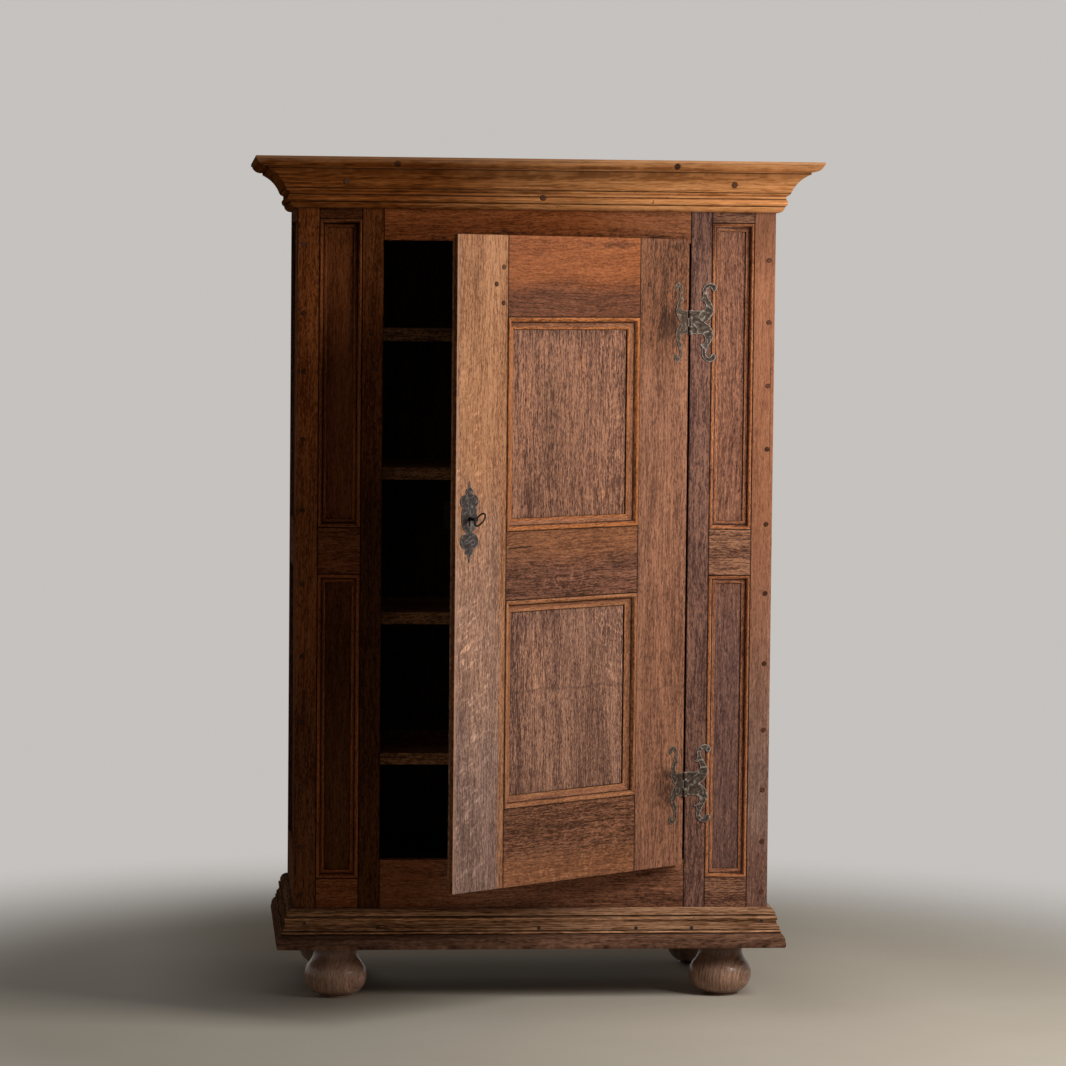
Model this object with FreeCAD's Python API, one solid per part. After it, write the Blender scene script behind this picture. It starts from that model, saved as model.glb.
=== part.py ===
import FreeCAD, Part
import math
import os

# One-door oak cupboard on turned feet, door standing open, in millimetres, +Z up.
# The origin lies on the floor, midway across the width and midway along the footprint with the door open.

V = FreeCAD.Vector

# Carcass
BODY_W = 1030.0          # over the corner posts
BODY_D = 524.0           # from the face of the front frame to the back of the rear posts
FACE_Y = -42.0           # plane of the front frame's face
FOOT_H = 114.0
PLINTH_H = 31.0
BASE_H = 54.0            # base moulding
BOTTOM_RAIL_SHOW = 105.0  # bottom rail above the base moulding
OPEN_H = 1335.5          # doorway
FRIEZE_SHOW = 67.5       # frieze rail below the cornice
CORNICE_H = 107.0
POST_W = 46.0
POST_D = 46.0
JAMB_W = 46.0
FIELD_W = 92.0           # panelled field between a post and a jamb
FRAME_T = 26.0           # jambs and rails
TENON_T = 8.0
TENON_L = 18.0
TENON_SET = 12.0         # tenon shoulder above and below

# Flank, side and back infill
FLANK_TOP_SHOW = 23.0
FLANK_BOTTOM_SHOW = 65.0
MID_RAIL_H = 100.0
MID_RAIL_SHARE = 0.4801  # mid rail's place between base moulding and cornice
PANEL_T = 9.0
PANEL_SINK = 11.0        # panel face behind the frame's face
GROOVE = 8.0
FLANK_MOULD_W = 18.0
SIDE_PANEL_T = 10.0
SIDE_PANEL_SINK = 8.0
BACK_BOARD_T = 18.0
BACK_RAIL_H = 106.0
BACK_BOARDS = 5
BOARD_GAP = 1.0
BOARD_LAP = 8.0          # boards lap one another by this

# Floor, roof and shelves
FLOOR_T = 22.0
FLOOR_BOARDS = 3
ROOF_T = 16.0
ROOF_SINK = 8.0          # roof boards below the cornice's top
ROOF_BOARDS = 4
SHELF_T = 26.0
SHELF_SET = 60.0         # shelf edge behind the front face
SHELF_SHARES = [0.8574, 0.6335, 0.3984, 0.1692]  # shelf tops up the doorway
BEARER_W = 20.0
BEARER_H = 30.0

# Cornice, base and feet
CORNICE_REACH = 92.0
BASE_REACH = 28.0
BASE_FLAT_SET = 3.0      # nailed flat behind the base moulding's bead
PLINTH_REACH = 38.0
PLINTH_IN = 142.0        # plinth boards reach in under the carcass
PLINTH_REAR_W = 100.0
FOOT_INSET_X = 93.0      # foot centre from the carcass side
FOOT_INSET_FRONT = 61.0  # foot centre from the carcass front
FOOT_INSET_REAR = 70.0
FOOT_R = 68.0
FOOT_NECK_R = 47.0
FOOT_SOLE_R = 40.0
FOOT_SOLE_T = 3.0
SPIGOT_R = 20.0
SPIGOT_L = 24.0

# Door
REST_ANGLE = 38.0        # how far the door stands open
LIP_T = 10.4             # front lip
LIP_SEAT = 0.6           # lip behind to frame face, door shut
BLOCK_T = 20.6           # part of the door inside the doorway
DOOR_GAP = 3.0           # block to doorway edge
HINGE_GAP = 2.2          # hinge edge to jamb
LAP_LOCK = 11.0
LAP_TOP = 9.0
LAP_BOTTOM = 10.5
LOCK_STILE_W = 142.0
HINGE_STILE_W = 146.8
DOOR_TOP_RAIL_H = 168.5
DOOR_MID_RAIL_H = 143.0
DOOR_BOTTOM_RAIL_H = 164.5
DOOR_UPPER_SHARE = 0.5051  # upper field's part of both fields' height
DOOR_PANEL_T = 10.0
DOOR_PANEL_SINK = 15.0
DOOR_MOULD_W = 26.0
DOOR_TENON_L = 50.0
DOOR_CORNER_R = 7.0      # worn top corner on the hinge side

# Hinges
AXIS_INSET = 1.0         # hinge axis inside the doorway edge
BARREL_R = 4.5
BARREL_CLEAR = 0.5       # barrel to the door's face
BARREL_H = 52.0
PIN_R = 2.0
PIN_FIT = 0.05
KNUCKLE_GAP = 0.4
DOOR_KNUCKLE_H = 17.6
LEAF_T = 2.0
LEAF_PLATE_H = 50.0
FRAME_LEAF_IN = 1.5      # leaf edge from the axis
LEAF_CLEAR = 0.9         # door leaf to the frame's knuckles
DOOR_LEAF_SHARE = 0.76   # door leaf's reach against the frame leaf's
HINGE_RISE = 166.0       # lower hinge's centre above the doorway's sill
HINGE_DROP = 169.5       # upper hinge's centre below the doorway's head
WEB_T = 3.0

# Lock, key and escutcheon
KEY_SET = 38.0           # key axis from the door's free edge
KEY_SHARE = 0.5706       # key axis up the doorway
KEY_ROLL = 37.6          # key turned clockwise from upright
STEM_R = 3.5
STEM_OUT = 23.0          # stem in front of the door's face
STEM_FIT = 0.05
COLLAR_R = 5.0
COLLAR_L = 4.0
KEYHOLE_R = 5.0
KEYHOLE_DROP = 16.0
KEYHOLE_SLOT = 5.0
BIT_R = 12.0
BIT_CONTACT = 11.0       # where the bit pushes the bolt, from the key axis
BIT_T = 4.0
BIT_CLEAR = 0.5          # bit inside the bolt's thickness
BOW_A = 11.5             # half length of the bow along the stem
BOW_B = 15.6             # half width of the bow
BOW_END_R = 9.0          # tight arcs of the bow
BOW_WIRE_R = 1.8
CASE_W = 80.0
CASE_WALL = 2.0
CASE_BELOW = 22.0
CASE_ABOVE = 34.0
CASE_EDGE_SET = 2.0      # case behind the edge of the door's block
BOLT_L = 66.0
BOLT_H = 16.0
BOLT_T = 8.0
BOLT_RISE = 7.0          # bolt above the key axis
BOLT_BEHIND = 2.0        # bolt behind the jamb
CASE_BEHIND = 4.0        # room behind the bolt
BOLT_FIT = 0.1
TALON_W = 9.6
TALON_H = 6.0
KEEP_W = 18.0
KEEP_T = 3.0
KEEP_FIT = 1.0
PLATE_T = 1.6            # escutcheon
PLATE_DROP = 6.0         # escutcheon centre below the key axis

# Pegs and nails
PEG_R = 5.0
PEG_L = 16.0
PEG_PROUD = 1.0
POST_PEG_INSET = 13.0    # from the carcass side
# Heights of the posts' pegs as shares of the post
LEFT_PEGS = [0.0511, 0.1137, 0.1927, 0.2784, 0.3647, 0.4596, 0.5562, 0.6486, 0.7368, 0.8128, 0.9021]
RIGHT_PEGS = [0.0529, 0.1198, 0.1884, 0.2681, 0.3562, 0.4492, 0.5404, 0.6395, 0.7228, 0.8061, 0.8875]
JAMB_PEGS = [(20.0, 200.0), (29.0, 274.0)]   # from the jamb's outer edge, below the doorway's head
# Cornice pegs: from the middle as shares of the width, and up the cornice as shares of its height
CORNICE_PEGS = [(-0.4010, 0.5234), (-0.2981, 0.8598), (0.0078, 0.2430), (0.2806, 0.8785), (0.4068, 0.5421)]
CORNICE_PEG_R = 6.2
CORNICE_PEG_L = 14.0
LOCK_STILE_PEGS = [(13.0, 66.0), (33.0, 101.0), (13.0, 140.0)]   # from the rail joint, below the door's top
HINGE_STILE_PEGS = [(28.0, 98.0)]
NAIL_SIDE = 6.4
NAIL_PROUD = 0.8
NAIL_STOP = 5.0          # base nails end short of the frame's face
# Base nails: from the middle as shares of the width, and up the base moulding as shares of its height
BASE_NAILS = [(-0.4786, 0.46), (-0.3252, 0.29), (0.0136, 0.24), (0.2190, 0.23), (0.3369, 0.22),
              (0.4864, 0.46)]
LEAF_NAIL_R = 1.2
LEAF_NAIL_HEAD_R = 2.6
LEAF_NAIL_HEAD_T = 1.0
LEAF_NAIL_L = 12.0
LEAF_NAILS = [(46.0, 26.0), (52.0, 74.5), (46.0, -26.0), (52.0, -74.5)]   # from the axis, from the centre
PLATE_NAILS = [48.0, -42.0]   # heights from the escutcheon's centre
PLATE_NAIL_SPREAD = 13.0

# Levels and planes that follow from the sizes above
HALF_W = BODY_W / 2
BACK_Y = FACE_Y + BODY_D
Z_CARCASS = FOOT_H + PLINTH_H
Z_BASE_TOP = Z_CARCASS + BASE_H
Z_SILL = Z_BASE_TOP + BOTTOM_RAIL_SHOW
Z_HEAD = Z_SILL + OPEN_H
Z_CORNICE = Z_HEAD + FRIEZE_SHOW
Z_TOP = Z_CORNICE + CORNICE_H
Z_POST_TOP = Z_TOP - ROOF_SINK - ROOF_T
X_POST = HALF_W - POST_W
X_JAMB = X_POST - FIELD_W
X_OPEN = X_JAMB - JAMB_W
Z_FLANK_TOP = Z_CORNICE - FLANK_TOP_SHOW
Z_FLANK_BOTTOM = Z_BASE_TOP + FLANK_BOTTOM_SHOW
Z_MID = Z_BASE_TOP + MID_RAIL_SHARE * (Z_CORNICE - Z_BASE_TOP)
FLANK_FIELDS = [(Z_FLANK_BOTTOM, Z_MID), (Z_MID + MID_RAIL_H, Z_FLANK_TOP)]

AXIS_X = X_OPEN - AXIS_INSET
DOOR_FACE_Y = FACE_Y - LIP_SEAT - LIP_T
AXIS_Y = DOOR_FACE_Y - BARREL_R - BARREL_CLEAR
DOOR_LEAF_IN = BARREL_R + LEAF_CLEAR
LIP_BACK_Y = DOOR_FACE_Y + LIP_T
DOOR_BACK_Y = LIP_BACK_Y + BLOCK_T
DOOR_RIGHT = X_OPEN - HINGE_GAP
DOOR_LEFT = -X_OPEN - LAP_LOCK
BLOCK_LEFT = -X_OPEN + DOOR_GAP
Z_DOOR = Z_SILL - LAP_BOTTOM
Z_DOOR_TOP = Z_HEAD + LAP_TOP
X_LOCK_STILE = DOOR_LEFT + LOCK_STILE_W
X_HINGE_STILE = DOOR_RIGHT - HINGE_STILE_W
Z_UPPER_TOP = Z_DOOR_TOP - DOOR_TOP_RAIL_H
Z_LOWER = Z_DOOR + DOOR_BOTTOM_RAIL_H
Z_UPPER = Z_UPPER_TOP - DOOR_UPPER_SHARE * (Z_UPPER_TOP - Z_LOWER - DOOR_MID_RAIL_H)
Z_LOWER_TOP = Z_UPPER - DOOR_MID_RAIL_H
DOOR_FIELDS = [(Z_LOWER, Z_LOWER_TOP), (Z_UPPER, Z_UPPER_TOP)]
HINGE_Z = [Z_SILL + HINGE_RISE, Z_HEAD - HINGE_DROP]
KEY_X = DOOR_LEFT + KEY_SET
KEY_Z = Z_SILL + KEY_SHARE * OPEN_H
CASE_EDGE = BLOCK_LEFT + CASE_EDGE_SET
BOLT_Y = FACE_Y + FRAME_T + BOLT_BEHIND
CASE_BACK_Y = BOLT_Y + BOLT_T + CASE_BEHIND + CASE_WALL
BOLT_Z = KEY_Z + BOLT_RISE
TALON_X = KEY_X + BIT_CONTACT * math.sin(math.radians(KEY_ROLL))
SHELF_TOPS = [Z_SILL + share * OPEN_H for share in SHELF_SHARES]
PLATE_Z = KEY_Z - PLATE_DROP


def box(x0, x1, y0, y1, z0, z1):
    return Part.makeBox(x1 - x0, y1 - y0, z1 - z0, V(x0, y0, z0))


def rod(radius, length, start, direction):
    return Part.makeCylinder(radius, length, start, direction)


def outline(place, start, steps):
    """Closed face: one point in a step makes a line, two an arc through the first, more a spline."""
    edges = []
    here = start
    for step in steps + [[start]]:
        end = step[-1]
        if len(step) == 1:
            edges.append(Part.LineSegment(place(here), place(end)).toShape())
        elif len(step) == 2:
            edges.append(Part.Arc(place(here), place(step[0]), place(end)).toShape())
        else:
            curve = Part.BSplineCurve()
            curve.interpolate([place(p) for p in [here] + step])
            edges.append(curve.toShape())
        here = end
    return Part.Face(Part.Wire(edges))


def prism(points, along):
    return Part.Face(Part.makePolygon(points + points[:1])).extrude(along)


def flip_x(shape):
    return shape.mirror(V(0, 0, 0), V(1, 0, 0))


def solids(shapes):
    found = []
    for shape in shapes:
        found.extend(shape.Solids)
    return found


def export(name, shapes):
    pieces = solids(shapes)
    for piece in pieces:
        if not piece.isValid() or piece.Volume <= 0:
            print("check the solid in", name)
    whole = pieces[0] if len(pieces) == 1 else Part.makeCompound(pieces)
    whole.exportStep("parts/" + name + ".step")


def wrap(start, steps, reach, inward, z0):
    """Front, left and right lengths of a moulding round the carcass, mitred at the front corners."""
    face = outline(lambda p: V(-HALF_W - reach, FACE_Y - p[0], z0 + p[1]), start, steps)
    front = face.extrude(V(BODY_W + 2 * reach, 0, 0))
    low, high = front.BoundBox.ZMin, front.BoundBox.ZMax
    corners = [V(-HALF_W - reach, FACE_Y - reach, low), V(HALF_W + reach, FACE_Y - reach, low),
               V(HALF_W - inward, FACE_Y + inward, low), V(-HALF_W + inward, FACE_Y + inward, low)]
    front = front.common(prism(corners, V(0, 0, high - low)))
    face = outline(lambda p: V(-HALF_W - p[0], FACE_Y - reach, z0 + p[1]), start, steps)
    left = face.extrude(V(0, BODY_D + reach, 0))
    corners = [V(-HALF_W - reach, FACE_Y - reach, low), V(-HALF_W + inward, FACE_Y + inward, low),
               V(-HALF_W + inward, BACK_Y, low), V(-HALF_W - reach, BACK_Y, low)]
    left = left.common(prism(corners, V(0, 0, high - low)))
    return front, left, flip_x(left)


def field_moulding(x0, x1, z0, z1, seat_y, width, start, steps):
    """Four mitred lengths round a panelled field; the profile runs inwards and forwards from the panel."""
    face = outline(lambda p: V(x0, seat_y - p[1], z0 + p[0]), start, steps)
    bottom = face.extrude(V(x1 - x0, 0, 0))
    y0, y1 = bottom.BoundBox.YMin, bottom.BoundBox.YMax
    corners = [V(x0, y0, z0), V(x1, y0, z0), V(x1 - width, y0, z0 + width), V(x0 + width, y0, z0 + width)]
    bottom = bottom.common(prism(corners, V(0, y1 - y0, 0)))
    face = outline(lambda p: V(x0 + p[0], seat_y - p[1], z0), start, steps)
    left = face.extrude(V(0, 0, z1 - z0))
    corners = [V(x0, y0, z0), V(x0, y0, z1), V(x0 + width, y0, z1 - width), V(x0 + width, y0, z0 + width)]
    left = left.common(prism(corners, V(0, y1 - y0, 0)))
    middle = V((x0 + x1) / 2, 0, (z0 + z1) / 2)
    return [bottom, bottom.mirror(middle, V(0, 0, 1)), left, left.mirror(middle, V(1, 0, 0))]


def side_tenons(x0, x1, z0, z1, y0, length):
    """Tenons on both ends of a rail."""
    y1 = y0 + TENON_T
    low, high = z0 + TENON_SET, z1 - TENON_SET
    return [box(x0 - length, x0, y0, y1, low, high), box(x1, x1 + length, y0, y1, low, high)]


def drill(shape, tools):
    near = [tool for tool in tools if tool.BoundBox.intersect(shape.BoundBox)]
    return shape.cut(near) if near else shape


def trimmed(stock, moulding, proud):
    """Peg or nail driven straight back into a moulding and trimmed a little proud of its profile."""
    ahead = moulding.copy()
    ahead.translate(V(0, -proud, 0))
    return stock.common(ahead)


def leaf_nail(x, face_y, z):
    head = rod(LEAF_NAIL_HEAD_R, LEAF_NAIL_HEAD_T, V(x, face_y - LEAF_NAIL_HEAD_T, z), V(0, 1, 0))
    return head.fuse(rod(LEAF_NAIL_R, LEAF_NAIL_L, V(x, face_y, z), V(0, 1, 0)))


def swing(shape):
    """Turns a piece of the shut door to where the door stands open."""
    turned = shape.copy()
    turned.rotate(V(AXIS_X, AXIS_Y, 0), V(0, 0, 1), REST_ANGLE)
    return turned


def front_frame(pegs, nails):
    """Posts, jambs, rails and infill of the front."""
    y0, y1 = FACE_Y, FACE_Y + FRAME_T
    panel_y = FACE_Y + PANEL_SINK
    tenon_y = FACE_Y + (FRAME_T - TENON_T) / 2
    post = box(-HALF_W, -X_POST, y0, y0 + POST_D, Z_CARCASS, Z_POST_TOP)
    jamb = box(-X_JAMB, -X_OPEN, y0, y1, Z_CARCASS, Z_POST_TOP)
    levels = [(Z_CARCASS, Z_FLANK_BOTTOM), (Z_MID, Z_MID + MID_RAIL_H), (Z_FLANK_TOP, Z_POST_TOP)]
    rails = []
    tenons = []
    for low, high in levels:
        rail = box(-X_POST, -X_JAMB, y0, y1, low, high)
        ends = side_tenons(-X_POST, -X_JAMB, low, high, tenon_y, TENON_L)
        tenons.extend(ends)
        rails.append(rail.fuse(ends))
    panels = []
    mouldings = []
    for low, high in FLANK_FIELDS:
        panels.append(box(-X_POST - GROOVE, -X_JAMB + GROOVE, panel_y, panel_y + PANEL_T,
                          low - GROOVE, high + GROOVE))
        drop, width = PANEL_SINK, FLANK_MOULD_W
        steps = [[(0, drop - 1.6)], [(3.2, drop - 0.1), (6.4, drop - 1.6)], [(7.2, drop - 3.4)],
                 [(11, 4.2), (width - 1.6, 2.6)], [(width, 2.4)], [(width, 0)]]
        mouldings.extend(field_moulding(-X_POST, -X_JAMB, low, high, panel_y, width, (0, 0), steps))
    rails = [rail.cut(panels) for rail in rails]
    post = post.cut(panels + tenons)
    jamb = jamb.cut(panels + tenons)

    wide_tenons = []
    wide = {}
    for name, low, high in [("bottom_rail", Z_CARCASS, Z_SILL), ("frieze_rail", Z_HEAD, Z_POST_TOP)]:
        ends = side_tenons(-X_OPEN, X_OPEN, low, high, tenon_y, TENON_L)
        wide_tenons.extend(ends)
        wide[name] = box(-X_OPEN, X_OPEN, y0, y1, low, high).fuse(ends)
    jamb_left = jamb.cut(wide_tenons)
    jamb_right = flip_x(jamb).cut(wide_tenons)

    export("front_post_left", [drill(post, pegs)])
    export("front_post_right", [drill(flip_x(post), pegs)])
    export("jamb_lock_side", [drill(jamb_left, pegs)])
    export("jamb_hinge_side", [drill(jamb_right, nails)])
    for name in wide:
        export(name, [wide[name]])
    for side, turn in [("left", lambda s: s), ("right", flip_x)]:
        export("flank_rails_" + side, [turn(rail) for rail in rails])
        export("flank_panels_" + side, [turn(panel) for panel in panels])
        export("flank_mouldings_" + side, [drill(turn(piece), nails) for piece in mouldings])


def sides_and_back():
    """Rear posts, side frames and the boarded back."""
    rear_y = BACK_Y - POST_D
    inner_x = HALF_W - FRAME_T
    front_y = FACE_Y + POST_D
    rear_post = box(-HALF_W, -X_POST, rear_y, BACK_Y, Z_CARCASS, Z_POST_TOP)
    levels = [(Z_CARCASS, Z_SILL), (Z_MID, Z_MID + MID_RAIL_H), (Z_FLANK_TOP, Z_POST_TOP)]
    rails = [box(-HALF_W, -inner_x, front_y, rear_y, low, high) for low, high in levels]
    panels = []
    panel_x = -HALF_W + SIDE_PANEL_SINK
    for low, high in [(Z_SILL, Z_MID), (Z_MID + MID_RAIL_H, Z_FLANK_TOP)]:
        panels.append(box(panel_x, panel_x + SIDE_PANEL_T, front_y, rear_y, low - GROOVE, high + GROOVE))
    rails = [rail.cut(panels) for rail in rails]
    export("rear_posts", [rear_post, flip_x(rear_post)])
    export("side_rails", rails + [flip_x(rail) for rail in rails])
    export("side_panels", panels + [flip_x(panel) for panel in panels])

    board_y = BACK_Y - BACK_BOARD_T
    spans = [(Z_CARCASS, Z_CARCASS + BACK_RAIL_H), (Z_POST_TOP - BACK_RAIL_H, Z_POST_TOP)]
    back_rails = [box(-X_POST, X_POST, rear_y, board_y, low, high) for low, high in spans]
    export("back_rails", back_rails)

    def upright(x0, x1, share):
        return box(x0, x1, board_y, board_y + share * BACK_BOARD_T, Z_CARCASS, Z_POST_TOP)
    export("back_boards", lapped(-X_POST, X_POST, BACK_BOARDS, upright))


def lapped(start, end, count, place):
    """Boards side by side, a small gap between them, each with a half-thick tongue lapping the next."""
    pitch = (end - start) / count
    boards = []
    for i in range(count):
        near = start + i * pitch
        far = near + pitch
        if i < count - 1:
            far -= BOARD_GAP
        board = place(near, far, 1.0)
        if i > 0:
            board = board.cut(place(near, near + BOARD_LAP, 0.5))
        if i < count - 1:
            board = board.fuse(place(far, far + BOARD_LAP, 0.5))
        boards.append(board.removeSplitter())
    return boards


def inside():
    """Floor, roof, shelves and the bearers under them."""
    inner_x = HALF_W - FRAME_T
    front_y = FACE_Y + POST_D
    rear_y = BACK_Y - POST_D
    posts = [box(-HALF_W, -X_POST, FACE_Y, front_y, Z_CARCASS, Z_POST_TOP),
             box(-HALF_W, -X_POST, rear_y, BACK_Y, Z_CARCASS, Z_POST_TOP)]
    posts.extend([flip_x(post) for post in posts])

    def floor_board(y0, y1, share):
        low = Z_SILL - FLOOR_T
        return box(-inner_x, inner_x, y0, y1, low, low + share * FLOOR_T)

    def roof_board(y0, y1, share):
        return box(-HALF_W, HALF_W, y0, y1, Z_POST_TOP, Z_POST_TOP + share * ROOF_T)
    floor = lapped(FACE_Y + FRAME_T, rear_y, FLOOR_BOARDS, floor_board)
    export("floor_boards", [board.cut(posts) for board in floor])
    export("roof_boards", lapped(FACE_Y, BACK_Y, ROOF_BOARDS, roof_board))
    bearers = []
    for top in [Z_SILL - FLOOR_T] + [level - SHELF_T for level in SHELF_TOPS]:
        bearer = box(-inner_x, -inner_x + BEARER_W, front_y, rear_y, top - BEARER_H, top)
        bearers.extend([bearer, flip_x(bearer)])
    export("shelf_bearers", bearers)
    for i, top in enumerate(SHELF_TOPS):
        shelf = box(-inner_x, inner_x, FACE_Y + SHELF_SET, BACK_Y - BACK_BOARD_T, top - SHELF_T, top)
        export("shelf_" + str(i + 1), [shelf.cut(posts)])


def cornice_pegs(front):
    """Pegs in the cornice, each as deep below its profile as the next."""
    ahead_y = FACE_Y - 2 * CORNICE_REACH
    pegs = []
    for across, up in CORNICE_PEGS:
        x = across * BODY_W
        z = Z_CORNICE + up * CORNICE_H
        line = Part.LineSegment(V(x, ahead_y, z), V(x, FACE_Y, z)).toShape()
        surface = line.common(front).BoundBox.YMin
        stock = rod(CORNICE_PEG_R, surface + CORNICE_PEG_L - ahead_y, V(x, ahead_y, z), V(0, 1, 0))
        pegs.append(trimmed(stock, front, PEG_PROUD))
    return pegs


def cornice():
    """Cornice in three lengths: ovolo, bead, cove and a top ovolo below a fillet. Gives its pegs."""
    reach, top = CORNICE_REACH, CORNICE_H
    steps = [[(12, 3.5), (17, 13)], [(22.5, 20.5), (19, 28)], [(19, 35)], [(25, 38)], [(28, 42)],
             [(reach - 49.5, top - 41.5), (reach - 28, top - 26)], [(reach - 26, top - 25)],
             [(reach - 26, top - 20)], [(reach - 24, top - 20)],
             [(reach - 8, top - 15), (reach - 2, top - 6)], [(reach, top - 6)], [(reach, top)], [(0, top)]]
    front, left, right = wrap((0, 0), steps, reach, 0, Z_CORNICE)
    pegs = cornice_pegs(front)
    export("cornice_front", [drill(front, pegs)])
    export("cornice_left", [left])
    export("cornice_right", [right])
    return pegs


def base_nails(front):
    """Square nails through the base moulding."""
    half = NAIL_SIDE / 2
    nails = []
    for across, up in BASE_NAILS:
        x = across * BODY_W
        z = Z_CARCASS + up * BASE_H
        stock = box(x - half, x + half, FACE_Y - 2 * BASE_REACH, FACE_Y - NAIL_STOP, z - half, z + half)
        nails.append(trimmed(stock, front, NAIL_PROUD))
    return nails


def base():
    """Base moulding and the plinth boards below it. Gives the moulding's nails."""
    reach, top = BASE_REACH, BASE_H
    flat = reach - BASE_FLAT_SET
    steps = [[(reach - 2, 0)], [(reach, 3.2), (reach - 2, 6.4)], [(flat, 7.4)], [(flat, 14)],
             [(reach - 8, 19), (reach - 9.5, 26)], [(reach - 7.5, 29)], [(reach - 7.5, top - 19)],
             [(reach - 12.5, top - 17.5)], [(reach - 12.5, top - 15.5)], [(reach - 11, top - 14.5)],
             [(reach - 14.5, top - 5.5), (reach - 24, top)], [(0, top)]]
    front, left, right = wrap((0, 0), steps, reach, 0, Z_CARCASS)
    nails = base_nails(front)
    export("base_moulding_front", [drill(front, nails)])
    export("base_moulding_left", [left])
    export("base_moulding_right", [right])
    reach, top = PLINTH_REACH, PLINTH_H
    steps = [[(reach - 2, 0)], [(reach, 7), (reach - 1.5, 14)], [(reach - 4.5, top - 6), (reach - 12, top)],
             [(-PLINTH_IN, top)]]
    boards = list(wrap((-PLINTH_IN, 0), steps, reach, PLINTH_IN, FOOT_H))
    rear_x = HALF_W - PLINTH_IN
    boards.append(box(-rear_x, rear_x, BACK_Y - PLINTH_REAR_W, BACK_Y, FOOT_H, Z_CARCASS))
    spigots = [rod(SPIGOT_R, SPIGOT_L, V(x, y, FOOT_H), V(0, 0, 1)) for _, x, y in foot_places()]
    export("plinth_boards", [drill(board, spigots) for board in boards])
    return nails


def foot_places():
    x = HALF_W - FOOT_INSET_X
    front, rear = FACE_Y + FOOT_INSET_FRONT, BACK_Y - FOOT_INSET_REAR
    return [("foot_front_left", -x, front), ("foot_front_right", x, front),
            ("foot_rear_left", -x, rear), ("foot_rear_right", x, rear)]


def feet():
    """Turned feet: a thin sole, a bulb and a hollow neck, with a round spigot up into the plinth."""
    steps = [[(FOOT_SOLE_R, 0)], [(FOOT_SOLE_R, FOOT_SOLE_T)], [(FOOT_SOLE_R - 2, FOOT_SOLE_T + 1)],
             [(FOOT_R - 9, 0.16 * FOOT_H), (FOOT_R, 0.395 * FOOT_H)],
             [(FOOT_R - 2, 0.51 * FOOT_H), (FOOT_R - 9, 0.62 * FOOT_H)],
             [(FOOT_NECK_R + 3.5, 0.74 * FOOT_H), (FOOT_NECK_R, 0.91 * FOOT_H)], [(FOOT_NECK_R, FOOT_H)],
             [(SPIGOT_R, FOOT_H)], [(SPIGOT_R, FOOT_H + SPIGOT_L)], [(0, FOOT_H + SPIGOT_L)]]
    face = outline(lambda p: V(p[0], 0, p[1]), (0, 0), steps)
    turned = face.revolve(V(0, 0, 0), V(0, 0, 1), 360)
    for name, x, y in foot_places():
        foot = turned.copy()
        foot.translate(V(x, y, 0))
        export(name, [foot])


def face_pegs(spots, face_y):
    return [rod(PEG_R, PEG_L + PEG_PROUD, V(x, face_y - PEG_PROUD, z), V(0, 1, 0)) for x, z in spots]


def frame_pegs():
    """Oak pegs in the posts and the lock-side jamb."""
    post_h = Z_POST_TOP - Z_CARCASS
    spots = [(-HALF_W + POST_PEG_INSET, Z_CARCASS + share * post_h) for share in LEFT_PEGS]
    spots.extend([(HALF_W - POST_PEG_INSET, Z_CARCASS + share * post_h) for share in RIGHT_PEGS])
    spots.extend([(-X_JAMB + inset, Z_HEAD - drop) for inset, drop in JAMB_PEGS])
    return face_pegs(spots, FACE_Y)


def leaf_plate(place, inner, share, thickness):
    """Scrolled hinge leaf, the same above and below its middle."""
    def p(s, t):
        return (inner + (s - inner) * share, t)
    half = LEAF_PLATE_H / 2
    neck = [p(28, 57), p(27, 70), p(33.5, 80.5), p(43, 85), p(54, 81.5), p(57.5, 75), p(53, 67)]
    back = [p(47, 71), p(43.5, 76), p(38.5, 74), p(35.5, 67), p(37.5, 58), p(44.5, 45), p(51.5, 28),
            p(44.5, 9.5)]
    cusp, waist = p(21, 48), p(32, 0)

    def down(q):
        return (q[0], -q[1])
    lower_back = [down(q) for q in reversed(back)] + [down(neck[-1])]
    lower_neck = [down(q) for q in reversed(neck[:-1])] + [down(cusp)]
    steps = [[p(inner, half)], [p(22, half)], [p(34, 34), cusp], neck, back + [waist], lower_back,
             lower_neck, [p(34, -34), p(22, -half)]]
    return outline(place, p(inner, -half), steps).extrude(thickness)


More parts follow.
